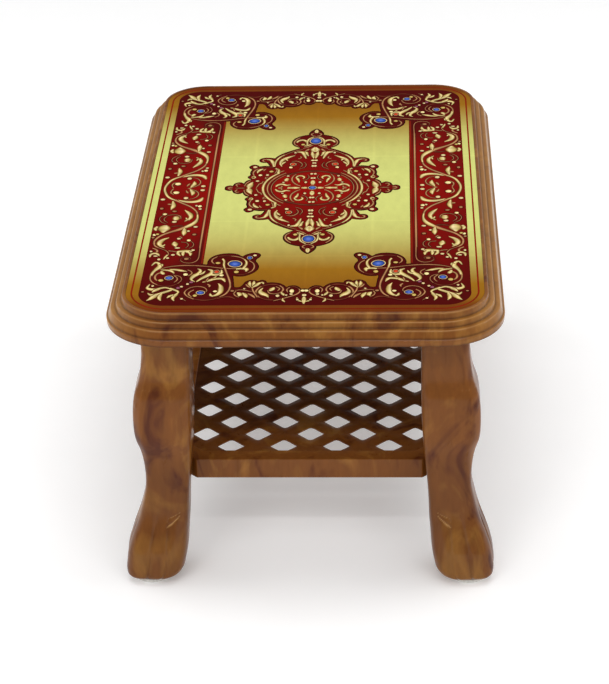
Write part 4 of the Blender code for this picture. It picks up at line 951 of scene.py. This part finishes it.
def bead(x, y, half_x, half_y, rings, level, turn=0.0):
    """A round or oval spot of rings: (share of the radius, colour), light to one side."""
    angle = np.linspace(0, 2 * math.pi, BEAD_STEPS, endpoint=False)
    half_x, half_y = half_x * STROKE_FULLNESS, half_y * STROKE_FULLNESS
    shares = np.array([share for share, tone in rings])
    tones = np.stack([tone for share, tone in rings])
    local = np.stack([half_x * np.cos(angle), half_y * np.sin(angle)], -1)
    cos, sin = math.cos(math.radians(turn)), math.sin(math.radians(turn))
    local = local @ np.array([[cos, sin], [-sin, cos]])
    grow = np.where(shares > 1, shares - 1, 0)[:, None, None]
    unit = local / np.hypot(*local.T)[:, None]
    flat = (x, y) + np.minimum(shares, 1)[:, None, None] * local + grow * unit
    high = np.full(flat.shape[:2] + (1,), level)
    high[-1] = FILM_TOP
    light = 1 + 0.22 * np.minimum(shares, 1)[:, None] * np.cos(angle - math.radians(40))[None]
    light = np.where(shares[:, None] >= 1, 1, light)
    paint = tones[:, None] * light[..., None]
    surface = grid(np.concatenate([flat * MM, high], -1), closed=True, paint=paint, inside_out=True)
    return loop_faces(surface, 0, len(angle))


def bead_rings(style, ink):
    """The rings of a small bead: light middle, deeper edge, dark outline."""
    violet = np.array(linear(150, 84, 104))
    middle, edge = {
        "cream": (ink["cream"], ink["leaf"]), "gold": (ink["leaf"], ink["bronze"]),
        "blush": (ink["cream"] * 0.8, ink["blush"]), "faded": (ink["blush"] * 0.7, ink["faded"]),
        "violet": (violet, violet * 0.6),
    }[style]
    dark = ink["outline"]
    return [(0.25, middle), (0.7, middle * 0.9 + edge * 0.1), (1.0, edge), (1.05, dark),
            (1.8, dark), (1.8, dark)]


def stone_rings(style, size, ink):
    """The rings of a set stone: pale glint, deep edge, dark line, cream setting, outline."""
    stone = ink[style]
    glint = np.minimum(stone * 1.5 + 0.06, 1) if style == "sapphire" else stone * 1.5
    dark = ink["outline"] if style == "garnet" else np.array(linear(20, 14, 50))
    return [(0.2, glint), (0.55, stone * 1.15), (0.85, stone * 0.8), (1.0, dark), (1.2, dark),
            (1.3, ink["cream"]), (1.3 + size * 0.12, ink["blush"]),
            (1.4 + size * 0.12, ink["outline"]), (2.2 + size * 0.12, ink["outline"]),
            (2.2 + size * 0.12, ink["outline"])]


def ground_paint(x, y, ink):
    """Red at the middle of the table, maroon towards its ends and along the outer edge."""
    along = smooth_step(30, 175, np.abs(y))
    edge = smooth_step(163, 170, np.abs(x)) * 0.45
    lobes = smooth_step(44, 62, np.hypot(x, y)) * (np.abs(x) < 108) * 0.6
    share = np.clip(np.maximum(along, np.maximum(edge, lobes)), 0, 1)[..., None]
    return ink["red"] * (1 - share) + ink["maroon"] * share


def field_paint(x, y, ink):
    """The gold field: brightest at the middle, bronze and then umber towards both ends.

    Faint paler lines lie over the ribs of the top.
    """
    margin = 34 * smooth_step(120, 172, np.abs(x)) * (1 - smooth_step(262, 282, np.abs(y)))
    along = np.abs(y) - margin
    stops = [0, 45, 80, 110, 135, 165, 190, 215, 235, 262, 292]
    share = [0, 0, 0.06, 0.2, 0.4, 0.7, 0.92, 1.12, 1.34, 1.72, 2.0]
    mix = np.interp(along, stops, share)[..., None]
    rib_x, rib_y = (
        sum(np.exp(-((value - index * pitch) / 1.2) ** 2) for index in range(-count, count + 1))
        for value, pitch, count in zip((x, y), RIB_PITCH_MM, RIBS_EACH_WAY))
    low = ink["gold"] * (1 - np.minimum(mix, 1)) + ink["bronze"] * np.minimum(mix, 1)
    deep = np.clip(mix - 1, 0, 1)
    return (low * (1 - deep) + ink["umber"] * deep) * (1 + 0.08 * np.maximum(rib_x, rib_y))[..., None]


def film_surfaces(ink):
    """The film itself: a flat grid with a low wall round it and one face beneath.

    Each row lies across the panel, as wide as the rounded outline is there, so
    x = share x (half width - radius + root(radius^2 - past^2)), past being how far the row lies
    into the rounded corners.
    """
    half_x, half_y = PANEL_HIGH.x, PANEL_HIGH.y
    radius = sizes().deck_corner - PANEL_INSET
    columns = np.linspace(-1, 1, 241)
    rows = np.linspace(-1, 1, 391)
    y = rows[:, None] * half_y * np.ones((1, len(columns)))
    past = np.maximum(np.abs(y) - (half_y - radius), 0)
    width = half_x - radius + np.sqrt(np.maximum(radius ** 2 - past ** 2, 0))
    x = columns[None] * width
    points = np.stack([x, y, np.full(x.shape, FILM_TOP)], -1)
    upper = grid(points, paint=field_paint(x / MM, y / MM, ink))
    rim = np.concatenate([
        points[0, :-1], points[:-1, -1], points[-1, :0:-1], points[:0:-1, 0]])
    rim_paint = field_paint(rim[:, 0] / MM, rim[:, 1] / MM, ink)
    wall = grid(np.stack([rim, rim - (0, 0, FILM_THICKNESS)]), closed=True,
                paint=np.stack([rim_paint, rim_paint]), inside_out=True)
    loop_faces(wall, len(rim), len(rim), inside_out=True)
    return [upper, wall]


def filled(outline, level, ink):
    """A closed outline as one flat face with a low wall, coloured point by point."""
    count = len(outline)
    high = np.c_[outline * MM, np.full(count, level)]
    low = np.c_[outline * MM, np.full(count, FILM_TOP)]
    paint = ground_paint(outline[:, 0], outline[:, 1], ink)
    surface = grid(np.stack([high, low]), closed=True, paint=np.stack([paint, paint]), inside_out=True)
    return loop_faces(surface, 0, count)


def print_surfaces(strokes, beads, stones, first_level, ink):
    """Every stroke, bead and stone of one quarter, each on its own thin layer."""
    surfaces = []
    level = first_level
    for style, widths, *line in strokes:
        if line[0] == "ring":
            path = ring_path(line[1], *line[2])
        else:
            path = smooth_path(line[0])
        surfaces.append(stroke(path, widths, style, level, ink))
        level += LAYER
    for style, x, y, half_x, half_y in beads:
        surfaces.append(bead(x, y, half_x, half_y, bead_rings(style, ink), level))
        level += LAYER / 4
    for style, x, y, half_x, half_y, turn in stones:
        rings = stone_rings(style, min(half_x, half_y), ink)
        surfaces.append(bead(x, y, half_x, half_y, rings, level + LAYER, turn))
    return surfaces


class READINGTABLE_OT_panel_film(bpy.types.Operator):
    """Printed film with its gold field"""

    bl_idname = "reading_table.panel_film"
    bl_label = "Panel film"

    def execute(self, context):
        piece("panel_film", film_surfaces(palette()), bpy.data.materials["printed_film"],
              ["printed_panel"], weld=1e-7)
        return {"FINISHED"}


class READINGTABLE_OT_panel_border(bpy.types.Operator):
    """Border of the print: pinstripe, ground, vines, corner blocks and friezes"""

    bl_idname = "reading_table.panel_border"
    bl_label = "Panel border"

    def execute(self, context):
        ink = palette()
        edge = smooth_path(BORDER_EDGE_MM[:5], 8.0)
        lobes = smooth_path(BORDER_EDGE_MM[4:], 1.5)[1:]
        corner = arc((143, 253), 27, 90, 0)
        outline = np.concatenate([edge, lobes, [(0, 280), (70, 280)], corner, [(170, 120), (170, 0)]])
        surfaces = [filled(outline[::-1], FILM_TOP + GROUND_LIFT, ink)]
        surfaces.append(stroke(
            np.concatenate([edge, lobes]), (1.0, 1.0), "dark", FILM_TOP + DISC_LIFT, ink, 0.2))
        turn = arc((139.5, 249.5), 38, 0, 90)
        line = np.concatenate([[(177.5, 0), (177.5, 120)], turn, [(70, 287.5), (0, 287.5)]])
        surfaces.append(stroke(line, (1.7, 1.7), "line", FILM_TOP + GROUND_LIFT, ink, 0.15))
        surfaces += print_surfaces(
            BORDER_STROKES, BORDER_BEADS, BORDER_STONES, FILM_TOP + ORNAMENT_LIFT, ink)
        piece("panel_border", in_all_quarters(surfaces), bpy.data.materials["printed_film"],
              [])
        return {"FINISHED"}


class READINGTABLE_OT_panel_medallion(bpy.types.Operator):
    """Medallion at the middle of the print"""

    bl_idname = "reading_table.panel_medallion"
    bl_label = "Panel medallion"

    def execute(self, context):
        ink = palette()
        edge = smooth_path(MEDALLION_EDGE_MM, 1.5)
        surfaces = [filled(np.concatenate([[(0, 0)], edge]), FILM_TOP + GROUND_LIFT, ink)]
        disc = ring_path(46, 0, 90)
        surfaces.append(filled(np.concatenate([[(0, 0)], disc]), FILM_TOP + DISC_LIFT, ink))
        surfaces.append(stroke(edge, (1.2, 1.2), "dark", FILM_TOP + EDGE_LIFT, ink, 0.3))
        surfaces += print_surfaces(
            MEDALLION_STROKES, MEDALLION_BEADS, MEDALLION_STONES, FILM_TOP + ORNAMENT_LIFT, ink)
        piece("panel_medallion", in_all_quarters(surfaces), bpy.data.materials["printed_film"],
              [])
        return {"FINISHED"}


# ---------------------------------------------------------------- legs

def leg_shape(height):
    """Middle and half width of a leg at heights in mm, as a smooth curve through stations."""
    stations = LEG_STATIONS_MM
    slope = np.gradient(stations[:, 1:], stations[:, 0], axis=0)
    index = np.clip(np.searchsorted(stations[:, 0], height, side="right") - 1, 0, len(stations) - 2)
    low, high = stations[index], stations[index + 1]
    gap = high[:, :1] - low[:, :1]
    t = (height[:, None] - low[:, :1]) / gap
    return ((2 * t ** 3 - 3 * t ** 2 + 1) * low[:, 1:] + (t ** 3 - 2 * t ** 2 + t) * gap * slope[index]
            + (3 * t ** 2 - 2 * t ** 3) * high[:, 1:] + (t ** 3 - t ** 2) * gap * slope[index + 1])


def squared_reach(angle, height, half):
    """How far out |x|^p + |y|^p = half^p lies at each angle, p rising with the height in mm."""
    share = np.clip((height - FOOT_POWER_MM) / (TOP_POWER_MM - FOOT_POWER_MM), 0, 1)
    power = (FOOT_POWER + (TOP_POWER - FOOT_POWER) * share)[:, None]
    return half[:, None] / (
        np.abs(np.cos(angle)) ** power + np.abs(np.sin(angle)) ** power) ** (1 / power)


def line_mark(across, height, start, end, width=0.8):
    """1 on a short line and 0 away from it, in a face's own across and height, in mm."""
    way_x, way_z = end[0] - start[0], end[1] - start[1]
    share = (across - start[0]) * way_x + (height - start[1]) * way_z
    share = np.clip(share / (way_x ** 2 + way_z ** 2), 0, 1)
    off = np.hypot(across - start[0] - share * way_x, height - start[1] - share * way_z)
    return np.exp(-(off / (width * (1.15 - 0.6 * share))) ** 2)


def leg_carving(angle, height, half):
    """How far the carving cuts into a leg, in mm, at an angle and height, and where its lines get a painted
    highlight.

    Four toe grooves run down the foot either side of the outward diagonal; a few short leaf
    strokes sit on each face above the toes, and a row of nicks and a bead on the knee.
    """
    from_diagonal = np.degrees((angle - math.pi / 4 + math.pi) % (2 * math.pi) - math.pi)
    cut = np.zeros(np.broadcast_shapes(angle.shape, height.shape))
    fade = 1 - smooth_step(58, 88, height)
    for place in (-67, -33, 33, 67):
        lean = place * (1 - 0.14 * smooth_step(20, 85, height))
        cut += fade * np.exp(-((from_diagonal - lean) / 3.2) ** 2)
    toes = 0.45 * fade * np.cos(np.radians(from_diagonal * 5.3)) * (np.abs(from_diagonal) < 84)
    cut = cut * sizes().toe_groove / MM - toes
    marks = np.zeros(cut.shape)
    for face, inward in ((0.0, -1), (math.pi / 2, 1)):
        across = inward * np.tan(np.clip(angle - face, -0.78, 0.78)) * half
        marks += line_mark(across, height, (6.4, 66.5), (17.6, 78.0), 1.1)
        marks += 0.7 * line_mark(across, height, (7.6, 76.5), (17.0, 81.5))
        marks += 0.5 * line_mark(across, height, (4.6, 72.0), (6.4, 79.0), 0.7)
        for start in (-14, -18, -22):
            marks += 0.5 * line_mark(across, height, (start, 229.6), (start - 2.6, 230.6), 0.7)
    along = from_diagonal * half * 0.022
    marks += 0.5 * line_mark(along, height, (1.0, 209.0), (1.0, 213.0), 1.2)
    cut -= 1.1 * np.exp(-((along / 2.4) ** 2 + ((height - 211) / 3.0) ** 2))
    return cut + 0.9 * marks, marks


def leg_surface(side_x, side_y):
    """A hollow leg: |x|^p + |y|^p = half^p round its middle line, less the carving.

    p falls from 7 at the square top to 3.2 at the foot, and the outward corner is flattened
    to a soft strip. The rows go up the outside, over the rim and down the hollow.
    """
    rise = np.concatenate([
        np.linspace(4.6, 14, 14), np.linspace(15, 110, 84), np.linspace(111.5, 256, 88)[:-1],
        np.linspace(256, 320, 8)])
    angle = np.linspace(0, 2 * math.pi, 152, endpoint=False)
    middle, half = leg_shape(rise).T
    reach = squared_reach(angle, rise, half)
    diagonal = np.cos(angle - math.pi / 4)[None]
    strip = 1.215 * half[:, None] / np.maximum(diagonal, 0.2)
    soft = 0.9
    flattened = -soft * np.log(np.exp(-reach / soft) + np.exp(-np.minimum(strip, 90) / soft))
    chamfer = (smooth_step(100, 150, rise) * (1 - smooth_step(262, 275, rise)))[:, None]
    reach = reach * (1 - chamfer) + flattened * chamfer
    carving, marks = leg_carving(angle[None], rise[:, None], half[:, None])
    outside = reach - carving

    inner_rows = rise[::-6][:-1]
    inner_rows = inner_rows[inner_rows > LEG_HOLLOW_FLOOR_MM]
    inner_middle, inner_half = leg_shape(inner_rows).T
    inside = squared_reach(angle, inner_rows, inner_half - LEG_WALL_MM)

    reach = np.concatenate([outside, inside])
    middle = np.concatenate([middle, inner_middle])
    level = np.concatenate([rise, inner_rows])
    points = np.stack([
        middle[:, None] + reach * np.cos(angle),
        middle[:, None] + LEG_DIAGONAL_MM + reach * np.sin(angle),
        np.broadcast_to(level[:, None], reach.shape)], -1) * MM
    paint = np.zeros(reach.shape + (3,))
    # Red: painted highlights along the carved lines
    paint[:len(rise), :, 0] = 0.6 * np.clip(marks * 1.6 - 0.6, 0, 1)
    # Green: painted shade, full below 110 mm and gone above 180 mm
    paint[..., 1] = (0.22 - 0.22 * smooth_step(110, 180, level))[:, None]
    surface = grid(points, closed=True, paint=paint)
    loop_faces(surface, 0, len(angle), inside_out=True)
    loop_faces(surface, (len(level) - 1) * len(angle), len(angle))
    return mirrored(surface, side_x, side_y)


class READINGTABLE_OT_legs(bpy.types.Operator):
    """Four carved legs, each a surface about its own middle line"""

    bl_idname = "reading_table.legs"
    bl_label = "Carved legs"

    def execute(self, context):
        for corner, (side_x, side_y) in SIDES.items():
            piece(f"carved_leg_{corner}", [leg_surface(side_x, side_y)],
                  bpy.data.materials["marbled_moulding"],
                  [f"leg_{corner}"], sharp=50)
        return {"FINISHED"}


class READINGTABLE_OT_glides(bpy.types.Operator):
    """White foot pads pressed into the feet"""

    bl_idname = "reading_table.glides"
    bl_label = "Foot glides"

    def execute(self, context):
        profile = rounded_line([
            (0.01, 11, 0), (5, 11, 1), (5, 4.4, 0.3), (20, 4.4, 1.0), (20, 0.6, 1.0), (18.8, 0, 0.6),
            (9, 0, 0.4), (8.6, 0.5, 0.3), (4, 0.5, 0.3), (3.6, 0, 0.4), (0.01, 0, 0)]) * MM
        for corner in SIDES:
            low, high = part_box(f"glide_{corner}")
            place = ((low.x + high.x) / 2, (low.y + high.y) / 2, 0)
            surface = turned(profile[::-1], place, (0, 0, 1))
            piece(f"foot_pad_{corner}", [surface], bpy.data.materials["pad_plastic"],
                  [f"glide_{corner}"], weld=2e-5)
        return {"FINISHED"}


# ---------------------------------------------------------------- shelf

def shelf_outline(offset, steps=7):
    """Points round the shelf's cut-cornered rectangle, moved outward by an offset in mm.

    Moving every side out by the offset lengthens each corner's cut by (2 - root 2) x offset.
    """
    half_width, half_length = SHELF_HALF_MM[0] + offset, SHELF_HALF_MM[1] + offset
    cut = SHELF_CUT_MM + (2 - math.sqrt(2)) * offset
    radius = max(3 + offset, 0.4)
    points = []
    corners = [(half_width, half_length - cut, 0), (half_width - cut, half_length, 45)]
    for quarter in range(4):
        for x, y, start in corners if quarter % 2 == 0 else corners[::-1]:
            sign_x, sign_y = ((1, 1), (-1, 1), (-1, -1), (1, -1))[quarter]
            low = start if quarter % 2 == 0 else 45 - start
            angle = np.radians(quarter * 90 + low + np.linspace(0, 45, steps))
            way = np.stack([np.cos(angle), np.sin(angle)], -1)
            bisector = math.radians(quarter * 90 + low + 22.5)
            middle = np.array([sign_x * x, sign_y * y]) - radius / math.cos(math.pi / 8) * np.array(
                [math.cos(bisector), math.sin(bisector)])
            points.append(middle + way * radius)
    return np.concatenate(points)


def lattice_painted_shade(y):
    """Green paint: painted shade under the top, deepening the lattice's tone away from its two ends."""
    deep = 0.72 - 0.5 * smooth_step(120, 235, np.abs(y))
    return np.stack([0 * deep, deep, 0 * deep], -1)


def lattice_cells(half_x, half_y, top, bottom):
    """Diamond cells of the lattice, each a rounded-edge profile carried round its hole.

    A cell is the diamond |x|/step + |y|/step = 1 about its middle, a step being a pitch's half; its surface goes from that
    border over the top to the hole's edge, down the hole and back along the underside.
    """
    step_x, step_y = LATTICE_STEP_MM
    tip = 0.16
    share = np.array([0, 0.34, 0.68, 0.84])
    side = np.stack([1 - share, share], -1)
    quarter_hole = side[:3] * (half_x, half_y)
    quarter_hole = np.concatenate([quarter_hole, [(half_x * tip, half_y * (1 - tip))]])
    peak = np.array([[0, half_y * (1 - 0.6 * tip)]])
    quarter_border = side * (step_x, step_y)
    border_peak = np.array([[0, step_y]])

    def all_round(quarter, last):
        first = np.concatenate([quarter, last])
        second = first[::-1][1:] * (-1, 1)
        third = first[1:] * (-1, -1)
        fourth = first[::-1][1:-1] * (1, -1)
        return np.concatenate([first, second, third, fourth])

    hole = all_round(quarter_hole, peak)
    border = all_round(quarter_border, border_peak)
    field_x, field_y = (half - LATTICE_MARGIN_MM for half in SHELF_HALF_MM)
    field_cut = sum(SHELF_HALF_MM) - SHELF_CUT_MM - LATTICE_MARGIN_MM * math.sqrt(2)
    clear_cut = field_cut - 8.4 * math.sqrt(2)      # holes stay inside the frame's slanted edge

    def inside_field(flat):
        flat = flat.copy()
        flat[..., 0] = np.clip(flat[..., 0], -field_x, field_x)
        flat[..., 1] = np.clip(flat[..., 1], -field_y, field_y)
        over = np.maximum(np.abs(flat).sum(-1) - field_cut, 0)[..., None] / 2
        return flat - np.sign(flat) * over

    surfaces = []
    middle_row = (LATTICE_ROWS - 1) / 2
    for row in range(-2, LATTICE_ROWS + 2):
        y = (row - middle_row) * step_y
        for column in range(-6, 7):
            if (column + row) % 2 == 0:
                continue
            x = column * step_x
            has_hole = (0 <= row < LATTICE_ROWS and abs(x) < 120
                        and abs(x) + half_x + abs(y) < clear_cut - 0.8)
            outer = inside_field(border + (x, y))
            if not has_hole:
                free = np.hypot(*(outer - border - (x, y)).T) < 1e-9
                if not free.any():
                    continue
                kept = free | np.roll(free, 1) | np.roll(free, -1)
                lid = outer[kept]
                for level, turned_over in ((top, False), (bottom, True)):
                    points = np.c_[lid * MM, np.full(len(lid), level)]
                    surface = (points, [], lattice_painted_shade(lid[:, 1]))
                    surfaces.append(loop_faces(surface, 0, len(lid), turned_over))
                continue
            edge = hole + (x, y)
            edge[:, 1] = np.clip(edge[:, 1], -226, 226)
            away = hole / np.hypot(*hole.T)[:, None]
            soft = 0.7
            flat = np.stack([outer, edge + away * soft, edge + away * soft * 0.3, edge, edge,
                             edge + away * soft * 0.3, edge + away * soft, outer])
            level = np.array([
                top, top, top - 0.3 * soft * MM, top - soft * MM, bottom + soft * MM,
                bottom + 0.3 * soft * MM, bottom, bottom])
            points = np.concatenate([
                flat * MM, np.broadcast_to(level[:, None, None], flat.shape[:2] + (1,))], -1)
            surfaces.append(grid(points, closed=True, paint=lattice_painted_shade(flat[..., 1])))
    return surfaces


def shelf_surfaces():
    """The shelf: a skirted frame profile carried round its outline, and the lattice field."""
    size = sizes()
    top, bottom = SHELF_HIGH.z, SHELF_LOW.z
    skirt = (top - bottom) / MM
    profile = rounded_line([
        (-18, 3.4, 0), (-18, 0.9, 0.2), (-17.4, 0.0, 0.5), (0, 0, 1.6), (0, skirt, 0.5),
        (-3, skirt, 0.5), (-3, 3.4, 1.0), (-18, 3.4, 0)], steps=6) * MM
    rings = np.stack([shelf_outline(offset / MM) * MM for offset in profile[:, 0]])
    level = np.broadcast_to((top - profile[:, 1])[:, None, None], rings.shape[:2] + (1,))
    shell = grid(np.concatenate([rings, level], -1), closed=True, inside_out=True)
    lattice_top = top - LATTICE_DOWN_MM * MM
    cells = lattice_cells(
        size.hole_half_width / MM, size.hole_half_length / MM, lattice_top,
        lattice_top - LATTICE_THICKNESS_MM * MM)
    return [shell] + cells


class READINGTABLE_OT_shelf(bpy.types.Operator):
    """Lattice shelf with its skirted frame"""

    bl_idname = "reading_table.shelf"
    bl_label = "Lattice shelf"

    def execute(self, context):
        piece("lattice_tray", shelf_surfaces(), bpy.data.materials["marbled_moulding"],
              ["lattice_shelf"], weld=1e-5, sharp=40)
        return {"FINISHED"}


# ---------------------------------------------------------------- screws

SCREW_STEPS = 48
SCREW_HEAD = 2.6 * MM
SHELF_SCREW_BACK = 4 * MM     # the box of a slanted screw reaches this far past its head


def screw_surface(place, axis):
    """A pan-head screw: dome, rim and threaded shank spun about its line, with a cross recess.

    The recess presses the dome down where a point lies within half a slot of either cross line.
    """
    angle = np.linspace(0, 2 * math.pi, SCREW_STEPS, endpoint=False)
    radius = np.array([0.02, 0.4, 0.8, 1.2, 1.6, 2.0, 2.4, 3.0, 3.6, 3.95, 4.0, 3.9])
    dome = np.array([2.6, 2.6, 2.58, 2.55, 2.5, 2.42, 2.3, 2.0, 1.5, 0.9, 0.4, 0.05])
    x = radius[:, None] * np.cos(angle)
    y = radius[:, None] * np.sin(angle)
    near = np.minimum(np.abs(x), np.abs(y))
    slot = (1 - smooth_step(0.35, 0.62, near)) * (1 - smooth_step(1.7, 2.3, radius[:, None]))
    level = dome[:, None] - 1.3 * slot
    turns = np.linspace(0, 1, 40)
    shank = 1.65 + 0.3 * np.cos(turns * 2 * math.pi * 9)
    shank = np.where(turns > 0.9, shank * (1.02 - turns) / 0.12, shank)
    depth = -turns * 13
    all_round = np.ones((1, SCREW_STEPS))
    reach = np.concatenate([radius, shank])[:, None] * all_round
    height = np.concatenate([level, depth[:, None] * all_round])
    points = np.stack([reach * np.cos(angle), reach * np.sin(angle), height], -1) * MM
    turn = np.array(Vector((0, 0, 1)).rotation_difference(Vector(axis)).to_matrix())
    surface = grid(points @ turn.T + np.array(place), closed=True, inside_out=True)
    loop_faces(surface, 0, SCREW_STEPS)
    return loop_faces(surface, (len(reach) - 1) * SCREW_STEPS, SCREW_STEPS, inside_out=True)


class READINGTABLE_OT_screws(bpy.types.Operator):
    """Screws that hold the legs in their sockets and the shelf to the legs"""

    bl_idname = "reading_table.screws"
    bl_label = "Screws"

    def execute(self, context):
        for corner, (side_x, side_y) in SIDES.items():
            outward = Vector((side_x, side_y, 0)).normalized()
            lines = {
                f"leg_screw_{corner}_a": Vector((side_x, 0, 0)),
                f"leg_screw_{corner}_b": Vector((0, side_y, 0)),
                f"shelf_screw_{corner}": outward,
            }
            for name, into in lines.items():
                low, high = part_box(name)
                middle = (low + high) / 2
                corners = [
                    Vector((x, y, middle.z)) for x in (low.x, high.x) for y in (low.y, high.y)]
                along = max(abs((spot - middle).dot(into)) for spot in corners)
                if name.startswith("shelf"):
                    along -= SHELF_SCREW_BACK
                head_back = middle - into * (along - SCREW_HEAD)
                piece(f"visible_{name}", [screw_surface(head_back, -into)],
                      bpy.data.materials["zinc_steel"], [name], sharp=30)
        return {"FINISHED"}


# ---------------------------------------------------------------- stage

FLOOR_HALF = 30.0
FLOOR_DROP = 0.2 * MM         # the floor lies this far below the pads
# Softboxes: name, place, what they face, width, height, power
LAMPS = (
    ("overhead_softbox", (0.1, -0.2, 2.6), (0, 0, 0.2), 1.8, 1.4, 15),
    ("front_left_softbox", (-1.5, -2.6, 2.5), (0, 0, 0.2), 1.3, 1.3, 16),
    ("front_right_softbox", (1.9, -2.4, 2.2), (0, 0, 0.15), 1.2, 1.2, 9),
    ("front_strip", (0.1, -2.2, 2.7), (0, 0, 0.3), 2.4, 0.12, 12),
    ("left_strip", (-2.2, 0.3, 0.9), (0, 0, 0.3), 1.8, 0.5, 14),
    ("right_strip", (2.2, 0.3, 0.9), (0, 0, 0.3), 1.8, 0.5, 14),
)


def soft_light(name, place, aim, width, height, power):
    """A rectangular lamp at a place, turned towards a point."""
    light = bpy.data.lights.new(name, "AREA")
    light.shape = "RECTANGLE"
    light.size = width
    light.size_y = height
    light.energy = power
    lamp = bpy.data.objects.new(name, light)
    bpy.context.scene.collection.objects.link(lamp)
    lamp.location = place
    way = Vector(aim) - Vector(place)
    lamp.rotation_euler = way.to_track_quat("-Z", "Y").to_euler()


def aim_camera():
    """A long-lens camera in front of the table, above it and rolled very slightly."""
    pitch, yaw, roll = (math.radians(value) for value in (28.85, -2.751, -1.483))
    ahead = Vector((
        math.sin(yaw) * math.cos(pitch), math.cos(yaw) * math.cos(pitch), -math.sin(pitch)))
    right = Vector((math.cos(yaw), -math.sin(yaw), 0))
    up = right.cross(ahead)
    across = math.cos(roll) * right + math.sin(roll) * up
    above = -math.sin(roll) * right + math.cos(roll) * up
    lens = bpy.data.cameras.new("camera")
    lens.lens = 119.474
    lens.sensor_width = 36
    lens.clip_end = 50
    camera = bpy.data.objects.new("camera", lens)
    bpy.context.scene.collection.objects.link(camera)
    turn = Matrix((across, above, -ahead)).transposed()
    camera.matrix_world = Matrix.Translation((0.09731, -2.30288, 1.3990)) @ turn.to_4x4()
    bpy.context.scene.camera = camera


class READINGTABLE_OT_stage(bpy.types.Operator):
    """Materials, floor, lights and camera"""

    bl_idname = "reading_table.stage"
    bl_label = "Stage"

    def execute(self, context):
        moulding_material()
        print_material()
        glide_material()
        steel_material()
        share = np.linspace(-1, 1, 9)
        x, y = np.meshgrid(share * FLOOR_HALF, share * FLOOR_HALF)
        points = np.stack([x, y, np.full(x.shape, -FLOOR_DROP)], -1).reshape(-1, 3)
        mesh = bpy.data.meshes.new("floor")
        mesh.from_pydata(points, [], grid_faces(len(share), len(share)))
        mesh.materials.append(floor_material())
        floor = bpy.data.objects.new("floor", mesh)
        context.scene.collection.objects.link(floor)

        world = bpy.data.worlds.new("studio")
        world.use_nodes = True
        tree = world.node_tree
        sky = tree.nodes["Background"]
        place = node(tree, "ShaderNodeTexCoord")
        parts = node(tree, "ShaderNodeSeparateXYZ", {"Vector": place.outputs["Generated"]})
        dome = ramp(
            tree, parts.outputs["Z"], [(0.0, grey(0.6)), (0.5, grey(0.5)), (0.95, grey(0.95))])
        tree.links.new(dome.outputs["Color"], sky.inputs["Color"])
        sky.inputs["Strength"].default_value = 0.8
        context.scene.world = world

        for lamp in LAMPS:
            soft_light(*lamp)
        aim_camera()
        context.scene.view_settings.view_transform = "Standard"
        return {"FINISHED"}


# ---------------------------------------------------------------- sidebar and registration

STEPS = (
    READINGTABLE_OT_stage,
    READINGTABLE_OT_table_top,
    READINGTABLE_OT_panel_film,
    READINGTABLE_OT_panel_border,
    READINGTABLE_OT_panel_medallion,
    READINGTABLE_OT_legs,
    READINGTABLE_OT_glides,
    READINGTABLE_OT_shelf,
    READINGTABLE_OT_screws,
)


class READINGTABLE_PT_panel(bpy.types.Panel):
    """Lists the table's pieces in the sidebar"""

    bl_label = "Reading table"
    bl_idname = "READINGTABLE_PT_panel"
    bl_space_type = "VIEW_3D"
    bl_region_type = "UI"
    bl_category = "Reading Table"

    def draw(self, context):
        for step in STEPS:
            self.layout.operator(step.bl_idname)
        for settings in (context.scene.reading_table_sizes, context.scene.reading_table_colours):
            column = self.layout.column()
            for name in settings.__annotations__:
                column.prop(settings, name)


CLASSES = (ReadingTableSizes, ReadingTableColours, *STEPS, READINGTABLE_PT_panel)


def register():
    """Registers the classes and the scene's settings."""
    for kind in CLASSES:
        bpy.utils.register_class(kind)
    bpy.types.Scene.reading_table_sizes = bpy.props.PointerProperty(type=ReadingTableSizes)
    bpy.types.Scene.reading_table_colours = bpy.props.PointerProperty(type=ReadingTableColours)


def unregister():
    """Takes the classes and the settings away again."""
    del bpy.types.Scene.reading_table_sizes
    del bpy.types.Scene.reading_table_colours
    for kind in reversed(CLASSES):
        bpy.utils.unregister_class(kind)


def main():
    """Builds every piece in order."""
    register()
    for step in STEPS:
        group, name = step.bl_idname.split(".")
        getattr(getattr(bpy.ops, group), name)()


if __name__ == "__main__":
    main()
